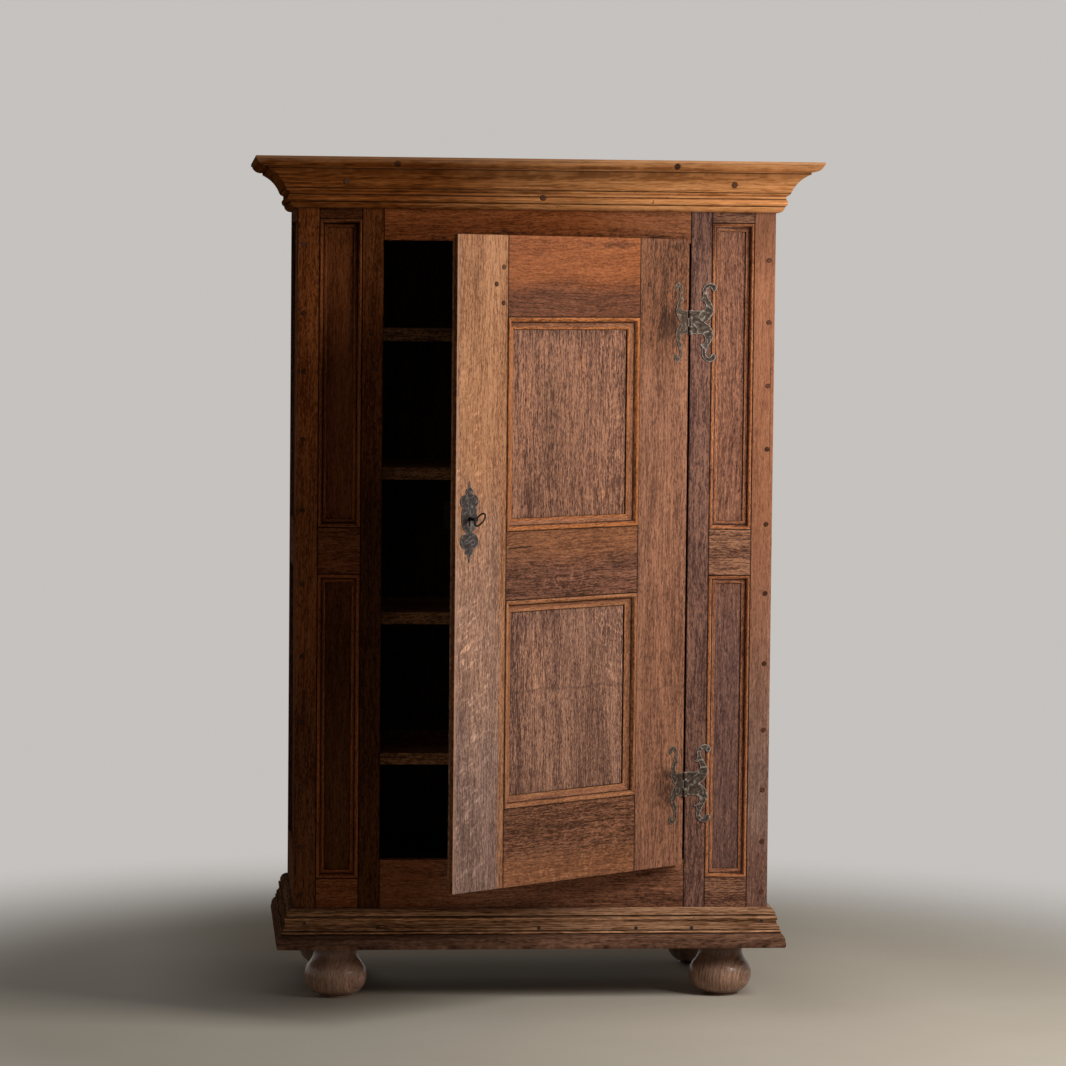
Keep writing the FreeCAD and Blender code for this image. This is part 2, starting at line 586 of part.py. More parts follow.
def hinges(frame_nails, door_nails):
    """Two hinges: a cranked frame leaf with the outer knuckles, a door leaf with the middle one, a pin."""
    pins = []
    clear = DOOR_KNUCKLE_H / 2 + KNUCKLE_GAP
    for name, z in zip(["lower", "upper"], HINGE_Z):
        plate = leaf_plate(lambda p: V(AXIS_X + p[0], FACE_Y, z + p[1]), FRAME_LEAF_IN, 1.0,
                           V(0, -LEAF_T, 0))
        pieces = []
        for low, high in [(-BARREL_H / 2, -clear), (clear, BARREL_H / 2)]:
            pieces.append(rod(BARREL_R, high - low, V(AXIS_X, AXIS_Y, z + low), V(0, 0, 1)))
            web_x = AXIS_X + FRAME_LEAF_IN
            pieces.append(box(web_x, web_x + WEB_T, AXIS_Y, FACE_Y, z + low, z + high))
        pin = rod(PIN_R, BARREL_H, V(AXIS_X, AXIS_Y, z - BARREL_H / 2), V(0, 0, 1))
        pins.append(pin)
        leaf = plate.fuse(pieces).cut(pin)
        export("hinge_frame_leaf_" + name, [drill(leaf, frame_nails)])

        plate = leaf_plate(lambda p: V(AXIS_X - p[0], DOOR_FACE_Y, z + p[1]), DOOR_LEAF_IN, DOOR_LEAF_SHARE,
                           V(0, -LEAF_T, 0))
        half = DOOR_KNUCKLE_H / 2
        knuckle = rod(BARREL_R, DOOR_KNUCKLE_H, V(AXIS_X, AXIS_Y, z - half), V(0, 0, 1))
        strap = box(AXIS_X - DOOR_LEAF_IN - LEAF_T, AXIS_X, AXIS_Y, DOOR_FACE_Y, z - half, z + half)
        bore = rod(PIN_R + PIN_FIT, DOOR_KNUCKLE_H, V(AXIS_X, AXIS_Y, z - half), V(0, 0, 1))
        leaf = plate.fuse([knuckle, strap]).cut(bore)
        export("hinge_door_leaf_" + name, [swing(drill(leaf, door_nails))])
    export("hinge_pins", pins)


def hinge_nails():
    frame = []
    door = []
    for z in HINGE_Z:
        for s, t in LEAF_NAILS:
            frame.append(leaf_nail(AXIS_X + s, FACE_Y - LEAF_T, z + t))
            reach = DOOR_LEAF_IN + (s - DOOR_LEAF_IN) * DOOR_LEAF_SHARE
            door.append(leaf_nail(AXIS_X - reach, DOOR_FACE_Y - LEAF_T, z + t))
    for rise in PLATE_NAILS:
        for side in (-1, 1):
            door.append(leaf_nail(KEY_X + side * PLATE_NAIL_SPREAD, DOOR_FACE_Y - PLATE_T, PLATE_Z + rise))
    return frame, door


def keyhole(y0, y1):
    bore = rod(KEYHOLE_R, y1 - y0, V(KEY_X, y0, KEY_Z), V(0, 1, 0))
    half = KEYHOLE_SLOT / 2
    return bore.fuse(box(KEY_X - half, KEY_X + half, y0, y1, KEY_Z - KEYHOLE_DROP, KEY_Z))


def door(pegs, nails):
    """Lipped frame-and-panel door, built shut and then swung open."""
    y0, y1 = DOOR_FACE_Y, DOOR_BACK_Y
    panel_y = DOOR_FACE_Y + DOOR_PANEL_SINK
    panels = []
    for low, high in DOOR_FIELDS:
        panels.append(box(X_LOCK_STILE - GROOVE, X_HINGE_STILE + GROOVE, panel_y, panel_y + DOOR_PANEL_T,
                          low - GROOVE, high + GROOVE))
    far = BODY_W
    rebate = [box(-far, BLOCK_LEFT, LIP_BACK_Y, y1, Z_DOOR, Z_DOOR_TOP),
              box(-far, far, LIP_BACK_Y, y1, Z_DOOR, Z_SILL + DOOR_GAP),
              box(-far, far, LIP_BACK_Y, y1, Z_HEAD - DOOR_GAP, Z_DOOR_TOP)]
    tenon_y = panel_y + (DOOR_PANEL_T - TENON_T) / 2
    rails = {}
    tenons = []
    for name, low, high in [("bottom", Z_DOOR, Z_LOWER), ("mid", Z_LOWER_TOP, Z_UPPER),
                            ("top", Z_UPPER_TOP, Z_DOOR_TOP)]:
        ends = side_tenons(X_LOCK_STILE, X_HINGE_STILE, low + TENON_SET, high - TENON_SET,
                           tenon_y, DOOR_TENON_L)
        tenons.extend(ends)
        rail = box(X_LOCK_STILE, X_HINGE_STILE, y0, y1, low, high).fuse(ends)
        rails[name] = rail.cut(panels + rebate)
    lock_stile = box(DOOR_LEFT, X_LOCK_STILE, y0, y1, Z_DOOR, Z_DOOR_TOP).cut(panels + tenons + rebate)
    lock_stile = drill(lock_stile.cut(keyhole(y0, y1)), pegs + nails)
    hinge_stile = box(X_HINGE_STILE, DOOR_RIGHT, y0, y1, Z_DOOR, Z_DOOR_TOP).cut(panels + tenons + rebate)
    corner_x, corner_z = DOOR_RIGHT - DOOR_CORNER_R, Z_DOOR_TOP - DOOR_CORNER_R
    corner = box(corner_x, DOOR_RIGHT, y0, y1, corner_z, Z_DOOR_TOP)
    rounding = rod(DOOR_CORNER_R, y1 - y0, V(corner_x, y0, corner_z), V(0, 1, 0))
    hinge_stile = drill(hinge_stile.cut(corner.cut(rounding)), pegs + nails)
    export("door_lock_stile", [swing(lock_stile)])
    export("door_hinge_stile", [swing(hinge_stile)])
    for name in rails:
        export("door_rail_" + name, [swing(rails[name])])
    drop = DOOR_PANEL_SINK
    steps = [[(0, drop + 0.4)], [(4, drop + 2), (8, drop + 0.4)], [(9, drop - 2)], [(15, 6.4), (23.5, 3.8)],
             [(DOOR_MOULD_W, 3.4)], [(DOOR_MOULD_W, 0)]]
    for name, panel, (low, high) in zip(["lower", "upper"], panels, DOOR_FIELDS):
        export("door_panel_" + name, [swing(panel)])
        frame = field_moulding(X_LOCK_STILE, X_HINGE_STILE, low, high, panel_y, DOOR_MOULD_W, (0, 0), steps)
        export("door_moulding_" + name, [swing(piece) for piece in frame])


def escutcheon(nails):
    """Iron keyhole plate, pointed and lobed, the same on both sides."""
    top = (0, 85)
    right = [[(3, 70)], [(9.5, 63), (6, 56)], [(24.5, 45), (17.5, 30)], [(21.5, 5), (15, -17)], [(9, -20)],
             [(9, -23)], [(18, -27)], [(25, -42), (8, -56)], [(11, -61.5), (4, -68)], [(0, -85)]]
    left = []
    here = top
    for step in right:
        left.insert(0, [(-q[0], q[1]) for q in step[:-1]] + [(-here[0], here[1])])
        here = step[-1]
    face = outline(lambda p: V(KEY_X + p[0], DOOR_FACE_Y, PLATE_Z + p[1]), top, right + left[:-1])
    plate = face.extrude(V(0, -PLATE_T, 0)).cut(keyhole(DOOR_FACE_Y - PLATE_T, DOOR_FACE_Y))
    export("escutcheon", [swing(drill(plate, nails))])


def ring_piece(hub, radius, start, sweep):
    """Bent round bar in the plane of the key; angles in degrees from +Y towards +Z."""
    a = math.radians(start)
    out = V(0, math.cos(a), math.sin(a))
    along = V(0, -math.sin(a), math.cos(a))
    section = Part.Circle(hub + out * radius, along, BOW_WIRE_R).toShape()
    return Part.Face(Part.Wire([section])).revolve(hub, V(1, 0, 0), sweep)


def bow(centre):
    """The key's oval ring in four arcs: tight ones above and below, wide ones before and behind."""
    rise = BOW_B - BOW_END_R
    wide_r = (rise ** 2 + BOW_A ** 2 - BOW_END_R ** 2) / (2 * (BOW_A - BOW_END_R))
    turn = math.degrees(math.atan2(rise, wide_r - BOW_A))
    back = V(0, wide_r - BOW_A, 0)
    up = V(0, 0, rise)
    return [ring_piece(centre - back, wide_r, -turn, 2 * turn),
            ring_piece(centre + up, BOW_END_R, turn, 180 - 2 * turn),
            ring_piece(centre + back, wide_r, 180 - turn, 2 * turn),
            ring_piece(centre - up, BOW_END_R, 180 + turn, 180 - 2 * turn)]


def lock():
    """Iron box lock behind the lock stile, its bolt, the key and the keep on the jamb."""
    x0, x1 = CASE_EDGE, CASE_EDGE + CASE_W
    z0, z1 = KEY_Z - CASE_BELOW, KEY_Z + CASE_ABOVE
    case = box(x0, x1, DOOR_BACK_Y, CASE_BACK_Y, z0, z1)
    case = case.cut(box(x0 + CASE_WALL, x1 - CASE_WALL, DOOR_BACK_Y, CASE_BACK_Y - CASE_WALL,
                        z0 + CASE_WALL, z1 - CASE_WALL))
    case = case.cut(box(x0, x0 + CASE_WALL, BOLT_Y - BOLT_FIT, BOLT_Y + BOLT_T + BOLT_FIT,
                        BOLT_Z - BOLT_FIT, BOLT_Z + BOLT_H + BOLT_FIT))
    tip_y = CASE_BACK_Y - CASE_WALL
    case = case.cut(rod(STEM_R + STEM_FIT, CASE_WALL, V(KEY_X, tip_y, KEY_Z), V(0, 1, 0)))
    export("lock_case", [swing(case)])

    bolt = box(x0, x0 + BOLT_L, BOLT_Y, BOLT_Y + BOLT_T, BOLT_Z, BOLT_Z + BOLT_H)
    bolt = bolt.cut(box(TALON_X - TALON_W / 2, TALON_X + TALON_W / 2, BOLT_Y, BOLT_Y + BOLT_T,
                        BOLT_Z, BOLT_Z + TALON_H))
    export("lock_bolt", [swing(bolt)])

    front = DOOR_FACE_Y - STEM_OUT
    stem = rod(STEM_R, CASE_BACK_Y - front, V(KEY_X, front, KEY_Z), V(0, 1, 0))
    collar = rod(COLLAR_R, COLLAR_L, V(KEY_X, front, KEY_Z), V(0, 1, 0))
    bit = box(KEY_X - BIT_T / 2, KEY_X + BIT_T / 2, BOLT_Y + BIT_CLEAR, BOLT_Y + BOLT_T - BIT_CLEAR,
              KEY_Z, KEY_Z + BIT_R)
    key = stem.fuse([collar, bit] + bow(V(KEY_X, front - BOW_A + BOW_WIRE_R / 2, KEY_Z)))
    key.rotate(V(KEY_X, 0, KEY_Z), V(0, 1, 0), KEY_ROLL)
    export("key", [swing(key)])

    edge = -X_OPEN
    seat_y = FACE_Y + FRAME_T
    top = BOLT_Z + BOLT_H + KEEP_FIT
    low = BOLT_Z - KEEP_FIT
    back = BOLT_Y + BOLT_T + KEEP_FIT
    keep = box(edge - KEEP_W, edge, seat_y, back + KEEP_T, low - KEEP_T, top + KEEP_T)
    keep = keep.cut(box(edge - KEEP_W, edge, seat_y, back, low, top))
    export("lock_keep", [keep])


def build():
    os.makedirs("parts", exist_ok=True)
    pegs = frame_pegs()
    frame_nails, door_nails = hinge_nails()
    door_spots = [(X_LOCK_STILE - inset, Z_DOOR_TOP - drop) for inset, drop in LOCK_STILE_PEGS]
    door_spots.extend([(X_HINGE_STILE + inset, Z_DOOR_TOP - drop) for inset, drop in HINGE_STILE_PEGS])
    door_pegs = face_pegs(door_spots, DOOR_FACE_Y)
    front_frame(pegs, frame_nails)
    sides_and_back()
    inside()
    top_pegs = cornice()
    low_nails = base()
    feet()
    hinges(frame_nails, door_nails)
    door(door_pegs, door_nails)
    escutcheon(door_nails)
    lock()
    export("carcass_pegs", pegs + top_pegs)
    export("carcass_nails", low_nails + frame_nails)
    export("door_pegs", [swing(peg) for peg in door_pegs])
    export("door_nails", [swing(nail) for nail in door_nails])


build()
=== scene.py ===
import bpy
import math
from mathutils import Matrix, Vector

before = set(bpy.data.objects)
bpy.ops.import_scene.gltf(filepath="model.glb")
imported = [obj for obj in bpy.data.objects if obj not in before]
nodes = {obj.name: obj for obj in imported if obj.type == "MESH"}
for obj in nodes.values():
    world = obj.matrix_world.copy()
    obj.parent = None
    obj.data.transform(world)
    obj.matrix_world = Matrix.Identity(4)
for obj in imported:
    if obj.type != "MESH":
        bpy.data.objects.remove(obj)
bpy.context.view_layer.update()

# Places shared with the solids, in metres; the door's are those of the shut door
AXIS = Vector((0.330, -0.058, 0.0))
REST = math.radians(38.0)
UNSWING = Matrix.Rotation(-REST, 3, "Z")
FACE_Y = -0.042
DOOR_Y = -0.053
PANEL_Y = -0.038
DOOR_LEFT = -0.342
LOCK_JOINT, HINGE_JOINT = -0.200, 0.182
LOWER_FIELD, UPPER_FIELD = (0.458, 0.893), (1.036, 1.480)
POST_JOINT, JAMB_JOINT, OPEN_EDGE = 0.469, 0.377, 0.331
FLANK_FIELDS = [(0.264, 0.923), (1.023, 1.684)]
HINGE_LOW, HINGE_HIGH = 0.470, 1.470
CORNICE_Z = 1.707
# Steps of the cornice and base profiles, where dark lines paint shade, and their arrises, where pale lines
# paint highlights with some wear
CORNICE_STEPS = (1.7200, 1.7355, 1.7485, 1.7895)
CORNICE_ARRISES = (1.7275, 1.7450, 1.7945)
BASE_STEPS = (0.1456, 0.1525, 0.1832)
BASE_ARRISES = (0.1490, 0.1780)

# Boards side by side: where they start and end, and how many they are
BACK_BOARDS = (-POST_JOINT, POST_JOINT, 5)
ROOF_BOARDS = (FACE_Y, 0.482, 4)
# Depth at which the back boards take on the tones of their inner face, nearly black as painted shade inside
# the cupboard
BACK_INNER = (0.4665, 0.4655)
# Field whose diagonals part the grain of the plinth's boards
PLINTH_X, PLINTH_Y = (-0.553, 0.553), (-0.080, 0.600)

# How wide the worn edges are, in metres. FINE: cornice, base, pegs, hinges and lock; BEAD: mitred mouldings;
# NAIL: nails, pins and the keyhole plate
STILE_EASE = 0.0013
RAIL_EASE = 0.0011
BOARD_EASE = 0.0009
FOOT_EASE = 0.0006
FINE_EASE = 0.0005
BEAD_EASE = 0.0004
NAIL_EASE = 0.0003
NO_EASE = 0.0

# Tones of the oak, linear: dark, middle and light
TAN = ((0.230, 0.097, 0.050), (0.455, 0.209, 0.104), (0.640, 0.322, 0.166))
DUN = ((0.165, 0.096, 0.076), (0.312, 0.180, 0.137), (0.520, 0.316, 0.232))
ORANGE = ((0.180, 0.056, 0.021), (0.325, 0.101, 0.037), (0.470, 0.158, 0.058))
UMBER = ((0.060, 0.021, 0.010), (0.172, 0.064, 0.033), (0.330, 0.128, 0.064))
BROWN = ((0.095, 0.040, 0.025), (0.260, 0.119, 0.073), (0.530, 0.255, 0.142))
STILE = ((0.140, 0.059, 0.034), (0.290, 0.127, 0.073), (0.460, 0.210, 0.117))
GREYED = ((0.055, 0.026, 0.016), (0.165, 0.071, 0.039), (0.320, 0.136, 0.070))
PLUM = ((0.105, 0.050, 0.040), (0.230, 0.114, 0.085), (0.420, 0.205, 0.138))
RUST = ((0.260, 0.100, 0.051), (0.445, 0.175, 0.089), (0.590, 0.254, 0.134))
GOLD = ((0.300, 0.110, 0.034), (0.520, 0.208, 0.070), (0.670, 0.290, 0.110))
TREACLE = ((0.120, 0.032, 0.006), (0.250, 0.072, 0.014), (0.380, 0.125, 0.030))
# Red-brown for the left-hand parts and the left of the frieze and bottom rail: a shaded copy of the woods on
# the lit side, painting the warm shade there
SHADE_RED = ((0.130, 0.036, 0.011), (0.300, 0.088, 0.029), (0.450, 0.150, 0.056))
BASE = ((0.120, 0.053, 0.023), (0.355, 0.168, 0.084), (0.650, 0.345, 0.190))
PLINTH = ((0.068, 0.032, 0.019), (0.170, 0.079, 0.045), (0.310, 0.152, 0.090))
FOOT = ((0.140, 0.075, 0.050), (0.340, 0.188, 0.125), (0.540, 0.315, 0.212))
HONEY = ((0.160, 0.058, 0.024), (0.380, 0.147, 0.060), (0.560, 0.238, 0.104))
# Nearly black: dark old oak made darker still as painted shade inside the cupboard
INSIDE_SHADE = ((0.014, 0.007, 0.004), (0.032, 0.017, 0.010), (0.060, 0.032, 0.018))
SHELF = ((0.090, 0.042, 0.020), (0.230, 0.108, 0.052), (0.380, 0.186, 0.092))
RAW = ((0.125, 0.072, 0.042), (0.270, 0.165, 0.102), (0.430, 0.278, 0.180))
SOOT = (0.022, 0.013, 0.010)
LINE = (0.016, 0.009, 0.006)

# How light each foot and each shelf is against its tones; the left-hand feet are lighter as painted light in
# place of the floor's bounce, the top shelf darker as painted shade under the frieze
FEET = {"foot_front_left": 1.75, "foot_front_right": 1.02, "foot_rear_left": 1.2, "foot_rear_right": 0.95}
SHELVES = {"shelf_1": 0.6, "shelf_2": 1.0, "shelf_3": 1.0, "shelf_4": 1.0}

# Floor: half its side, its two tones, a faint glow where it is seen, and between which distances it fades out
FLOOR_HALF = 6
FLOOR_DARK, FLOOR_LIGHT = (0.57, 0.520, 0.435), (0.66, 0.605, 0.510)
FLOOR_GLOW = (0.052, 0.048, 0.042)
FLOOR_FADE = (1.1, 2.3)
# The part of it without that glow, under and behind the cupboard, a painted shadow, and how wide its soft
# edge is
DIM_HALF_X, DIM_Y, DIM_HALF_Y, DIM_EDGE = 0.50, 0.65, 0.70, 0.40

# Weak light from all round, and the background's tone
FILL_TONE, FILL_STRENGTH = (1.0, 0.97, 0.94), 0.058
PALE_TONE = (0.56, 0.54, 0.52)

# Camera at the photograph's viewpoint: metres, degrees, and the image's own pixels
CAMERA_PLACE = (-0.7568, -8.4567, 1.5310)
CAMERA_YAW, CAMERA_PITCH, CAMERA_ROLL = 5.106, -3.508, 0.563
FOCAL_PX, IMAGE_PX = 3924.9, 1066.0
SENSOR_MM = 36.0


def tinted(tones, red, green, blue):
    """The same tones, lighter or darker in each colour."""
    return tuple((r * red, g * green, b * blue) for r, g, b in tones)


class Field:
    """A number that varies over a surface, written with plain arithmetic."""

    def __init__(self, shade, socket):
        self.shade = shade
        self.socket = socket

    def __add__(self, other):
        return self.shade.math("ADD", self, other)

    def __sub__(self, other):
        return self.shade.math("SUBTRACT", self, other)

    def __rsub__(self, other):
        return self.shade.math("SUBTRACT", other, self)

    def __mul__(self, other):
        return self.shade.math("MULTIPLY", self, other)

    def __truediv__(self, other):
        return self.shade.math("DIVIDE", self, other)

    def __abs__(self):
        return self.shade.math("ABSOLUTE", self)


class Shade:
    """One material's nodes. Values may be numbers, tuples, fields or sockets."""

    def __init__(self, name):
        self.mat = bpy.data.materials.new(name)
        self.mat.use_nodes = True
        self.tree = self.mat.node_tree
        self.tree.nodes.clear()
        self.out = self.tree.nodes.new("ShaderNodeOutputMaterial")

    def add(self, kind, settings=(), inputs=()):
        made = self.tree.nodes.new("ShaderNode" + kind)
        for key, value in dict(settings).items():
            setattr(made, key, value)
        for key, value in dict(inputs).items():
            self.put(made.inputs[key], value)
        return made

    def put(self, socket, value):
        if isinstance(value, Field):
            value = value.socket
        if isinstance(value, bpy.types.NodeSocket):
            self.tree.links.new(value, socket)
        elif isinstance(value, tuple) and len(value) == 3 and socket.type == "RGBA":
            socket.default_value = (*value, 1.0)
        else:
            socket.default_value = value

    def math(self, op, a, b=0.0):
        return Field(self, self.add("Math", {"operation": op}, {0: a, 1: b}).outputs[0])

    def span(self, value, low, high, to_low=0.0, to_high=1.0):
        """Goes smoothly from to_low to to_high while the value goes from low to high."""
        limits = {"From Min": low, "From Max": high, "To Min": to_low, "To Max": to_high}
        made = self.add("MapRange", {"interpolation_type": "SMOOTHSTEP"}, {"Value": value, **limits})
        return Field(self, made.outputs[0])

    def mix(self, factor, a, b, blend="MIX"):
        made = self.add("Mix", {"data_type": "RGBA", "blend_type": blend, "clamp_factor": True})
        self.put(made.inputs["Factor"], factor)
        colours = [socket for socket in made.inputs if socket.type == "RGBA"]
        self.put(colours[0], a)
        self.put(colours[1], b)
        return [socket for socket in made.outputs if socket.type == "RGBA"][0]

    def times(self, colour, by):
        """A colour multiplied by another one or by a field."""
        if isinstance(by, Field):
            by = self.triple(by, by, by)
        return self.mix(1.0, colour, by, "MULTIPLY")

    def triple(self, x, y, z):
        return self.add("CombineXYZ", (), {0: x, 1: y, 2: z}).outputs[0]

    def noise(self, x, y, z, detail=2.0, rough=0.55, scale=1.0):
        made = self.add("TexNoise", (), {"Vector": self.triple(x, y, z), "Scale": scale, "Detail": detail,
                                         "Roughness": rough})
        return Field(self, made.outputs[0])

    def object_xyz(self, on_door=False):
        """Rest coordinates in metres; a door piece's are those of the shut door."""
        place = self.add("TexCoord").outputs["Object"]
        if on_door:
            shift = AXIS - UNSWING @ AXIS
            turned = self.add("Mapping", {"vector_type": "POINT"}, {"Vector": place})
            turned.inputs["Rotation"].default_value = (0.0, 0.0, -REST)
            turned.inputs["Location"].default_value = shift
            place = turned.outputs[0]
        return [Field(self, socket) for socket in self.add("SeparateXYZ", (), {0: place}).outputs]

    def surface(self, colour, rough, height, distance, strength, **fixed):
        """Principled surface with bump; the fixed values are the same all over."""
        bump = self.add("Bump", (), {"Height": height, "Distance": distance, "Strength": strength})
        made = self.add("BsdfPrincipled", (), {"Base Color": colour, "Roughness": rough,
                                               "Normal": bump.outputs[0]})
        for key, value in fixed.items():
            made.inputs[key.replace("_", " ")].default_value = value
        self.put(self.out.inputs["Surface"], made.outputs[0])


class Oak(Shade):
    """Old waxed oak. u runs along the grain, v across the board and w into it."""

    def __init__(self, name, seed, on_door):
        super().__init__(name)
        self.seed = seed
        self.xyz = self.object_xyz(on_door)

    def along(self, axis):
        return self.xyz["xyz".index(axis)]

    def run(self, grain):
        x, y, z = self.xyz
        self.u, self.v, self.w = {"x": (x, z, y), "y": (y, x, z), "z": (z, x, y)}[grain]

    def run_mitred(self, a, a_range, b, b_ranges):
        """Lengths mitred round fields: the grain follows the side that a point lies nearest to."""
        first, second = self.along(a), self.along(b)
        near_first = self.math("MINIMUM", first - a_range[0], a_range[1] - first)
        near_second = None
        for low, high in b_ranges:
            near = self.math("MINIMUM", second - low, high - second)
            near_second = self.math("MAXIMUM", near_second, near) if near_second else near
        along_second = self.math("LESS_THAN", near_first, near_second)
        flip = (second - first) * along_second
        self.u = first + flip
        self.v = second - flip
        self.w = self.xyz[3 - "xyz".index(a) - "xyz".index(b)]
        self.rim = self.math("MINIMUM", near_first, near_second)

    def split(self, axis, start, end, count):
        """Boards side by side along an axis, each cut from another part of the tree."""
        pitch = (end - start) / count
        place = self.along(axis)
        self.board = self.math("FLOOR", (place - start) / pitch)
        self.u = self.u + self.board * 5.7
        if place is self.v:
            self.v = place - self.board * pitch
        else:
            self.w = place - self.board * pitch

    def lines(self, long, fine, detail):
        """Noise drawn out along the grain: features per metre along it and across it."""
        return self.noise(self.far_u * (long / self.draw), self.ring * fine, self.around, detail)

    def figure(self, heart, taper, streak, draw):
        """Grain that follows the distance from the heart and wanders as it goes; draw makes it longer."""
        self.draw = draw
        u, v, seed = self.u + self.seed * 3.71, self.v, self.seed * 1.3
        slow = self.noise(u * 1.7, v * 4.0, seed)
        quick = self.noise(u * 11.0, v * 15.0, seed)
        v = v + (slow - 0.5) * (0.05 / draw) + (quick - 0.5) * (0.009 / draw)
        across, into = v - heart[0], self.w - heart[1]
        self.far_u = u
        self.ring = self.math("SQRT", across * across + into * into) + u * taper + self.seed * 0.37
        self.around = self.math("ARCTAN2", into, across) * 0.6
        self.bands = self.lines(2.3, 30.0, 3.0)
        self.fibres = self.lines(11.0, 400.0, 1.0)
        self.dashes = self.lines(55.0, 500.0, 1.0)
        self.pores = self.lines(140.0, 640.0, 1.0)
        cloud = self.noise(u * 3.2, v * 13.0, self.w * 13.0, 4.0, 0.6)
        spread = (self.span(self.fibres, 0.34, 0.66) - 0.5) * 0.38 + (self.dashes - 0.5) * 1.5
        spread = spread + (self.pores - 0.5) * 2.0 + (self.bands - 0.5) * 0.9 + (cloud - 0.5) * 0.7
        self.tone = spread * streak + 0.5

    def stained(self, tones):
        dark, middle, light = tones
        low = self.mix(self.span(self.tone, 0.04, 0.54), dark, middle)
        return self.mix(self.span(self.tone, 0.48, 0.98), low, light)

    def blotch(self, centre, radii, ragged=0.5):
        """Soft patch round a point, its edge broken up by noise."""
        x, y, z = [(axis - at) / size for axis, at, size in zip(self.xyz, centre, radii)]
        away = self.math("SQRT", x * x + y * y + z * z)
        edge = self.noise(*self.xyz, detail=4.0, rough=0.65, scale=55.0)
        return self.span(away + (edge - 0.5) * 2.0 * ragged, 1.0, 0.4)

    def line(self, distance, width):
        """Dark line where a distance is small, such as a joint or a crack; it swells and fades."""
        fill = self.noise(*self.xyz, detail=2.0, scale=38.0)
        mask = self.span(distance + (fill - 0.5) * width, width, 0.3 * width)
        mask = mask * self.span(fill, 0.25, 0.6, 0.5, 0.9)
        self.colour = self.mix(mask, self.colour, LINE)
        self.height = self.height - mask * 1.2


def turning(tones, axis, low, high, ragged=0.06):
    """A board that changes to other tones along an axis."""
    def lay(s):
        wobble = s.noise(s.far_u * 6.0, s.v * 16.0, 0.3, 4.0, 0.6)
        place = s.along(axis) + (wobble - 0.5) * ragged * 2.0
        s.colour = s.mix(s.span(place, low, high), s.colour, s.stained(tones))
    return lay


def flecks(strength, centre=None, radii=None, lean=0.55):
    """Rays cut lengthways: pale ripples lying aslant across the grain."""
    def lay(s):
        curl = s.noise(s.far_u * 9.0, s.v * 26.0, s.seed)
        place = s.far_u * 105.0 - s.v * (105.0 * lean) + curl * 3.4
        ripple = s.noise(place, s.v * 34.0, s.w * 34.0, 1.0, 0.45)
        patch = s.noise(s.far_u * 6.0, s.v * 17.0, s.seed + 0.7)
        mask = s.span(ripple, 0.53, 0.67) * s.span(patch, 0.30, 0.52) * strength
        if centre:
            mask = mask * s.blotch(centre, radii, 0.3)
        s.colour = s.mix(mask, s.colour, s.times(s.colour, (1.62, 1.66, 1.66)))
        s.rough = s.rough - mask * 0.10
    return lay


def stain(centre, radii, strength):
    """Dark patch that leaves the grain to be seen."""
    def lay(s):
        mask = s.blotch(centre, radii, 0.9) * s.span(s.dashes, 0.75, 0.3, 0.55, 1.0) * strength
        dulled = s.times(s.colour, (0.25, 0.22, 0.20))
        s.colour = s.mix(mask, s.colour, s.mix(0.6, dulled, SOOT))
    return lay


def gleam(centre, radii, strength, lift=(1.6, 1.5, 1.35)):
    """Paler patch that follows the fibres."""
    def lay(s):
        mask = s.blotch(centre, radii, 0.5) * s.span(s.fibres, 0.35, 0.6) * strength
        s.colour = s.mix(mask, s.colour, s.times(s.colour, lift))
    return lay


def tide(level, strength):
    """Faint wavering water line across upright boards."""
    def lay(s):
        waver = s.noise(s.along("x") * 14.0, 0.0, level, 3.0, 0.6)
        away = abs(s.along("z") - level + (waver - 0.5) * 0.035)
        mask = s.span(away, 0.0045, 0.0005) * s.span(s.dashes, 0.3, 0.6) * strength
        s.colour = s.mix(mask, s.colour, SOOT)
    return lay


def crack(start, end, width):
    """Thin wavering crack between two points given as (along, across) the grain."""
    def lay(s):
        share = (s.u - start[0]) / (end[0] - start[0])
        waver = (s.noise(s.u * 90.0, 0.0, 0.0, 3.0) - 0.5) * 0.004
        gap = abs(s.v + waver - share * (end[1] - start[1]) - start[1])
        ends = s.span(share, 0.0, 0.1) * s.span(share, 1.0, 0.85)
        s.line(gap + (1.0 - ends) * width, width)
    return lay


def seams_and_step_shade(axis, *places, width=0.0020):
    """Dark joint lines where one board meets the next; at the steps of the cornice and base profiles the dark
    lines are painted shade.
    """
    def lay(s):
        for place in places:
            s.line(abs(s.along(axis) - place), width)
    return lay


def quirks(*distances, width=0.0020):
    """Dark lines in a mitred moulding, so far in from its outer edge: its joints, and painted shade at the
    step between its beads.
    """
    def lay(s):
        for distance in distances:
            s.line(abs(s.rim - distance), width)
    return lay


def rubbed_bead(low, high, tones, strength):
    """Band of other tones in a mitred moulding, between two distances from its outer edge."""
    def lay(s):
        band = s.span(s.rim, low, low + 0.002) * s.span(s.rim, high, high - 0.002)
        s.colour = s.mix(band * strength, s.colour, s.stained(tones))
    return lay


def arrises(axis, *places, width=0.0022, lift=(1.55, 1.5, 1.45)):
    """Paler lines along edges: painted highlight where light catches them, and wear that hands and cloths
    have rubbed.
    """
    def lay(s):
        worn = s.noise(s.far_u * 9.0, s.v * 30.0, s.w * 30.0, 3.0, 0.6)
        for place in places:
            away = abs(s.along(axis) - place)
            mask = s.span(away, width, 0.3 * width) * s.span(worn, 0.30, 0.62)
            s.colour = s.mix(mask, s.colour, s.times(s.colour, lift))
    return lay


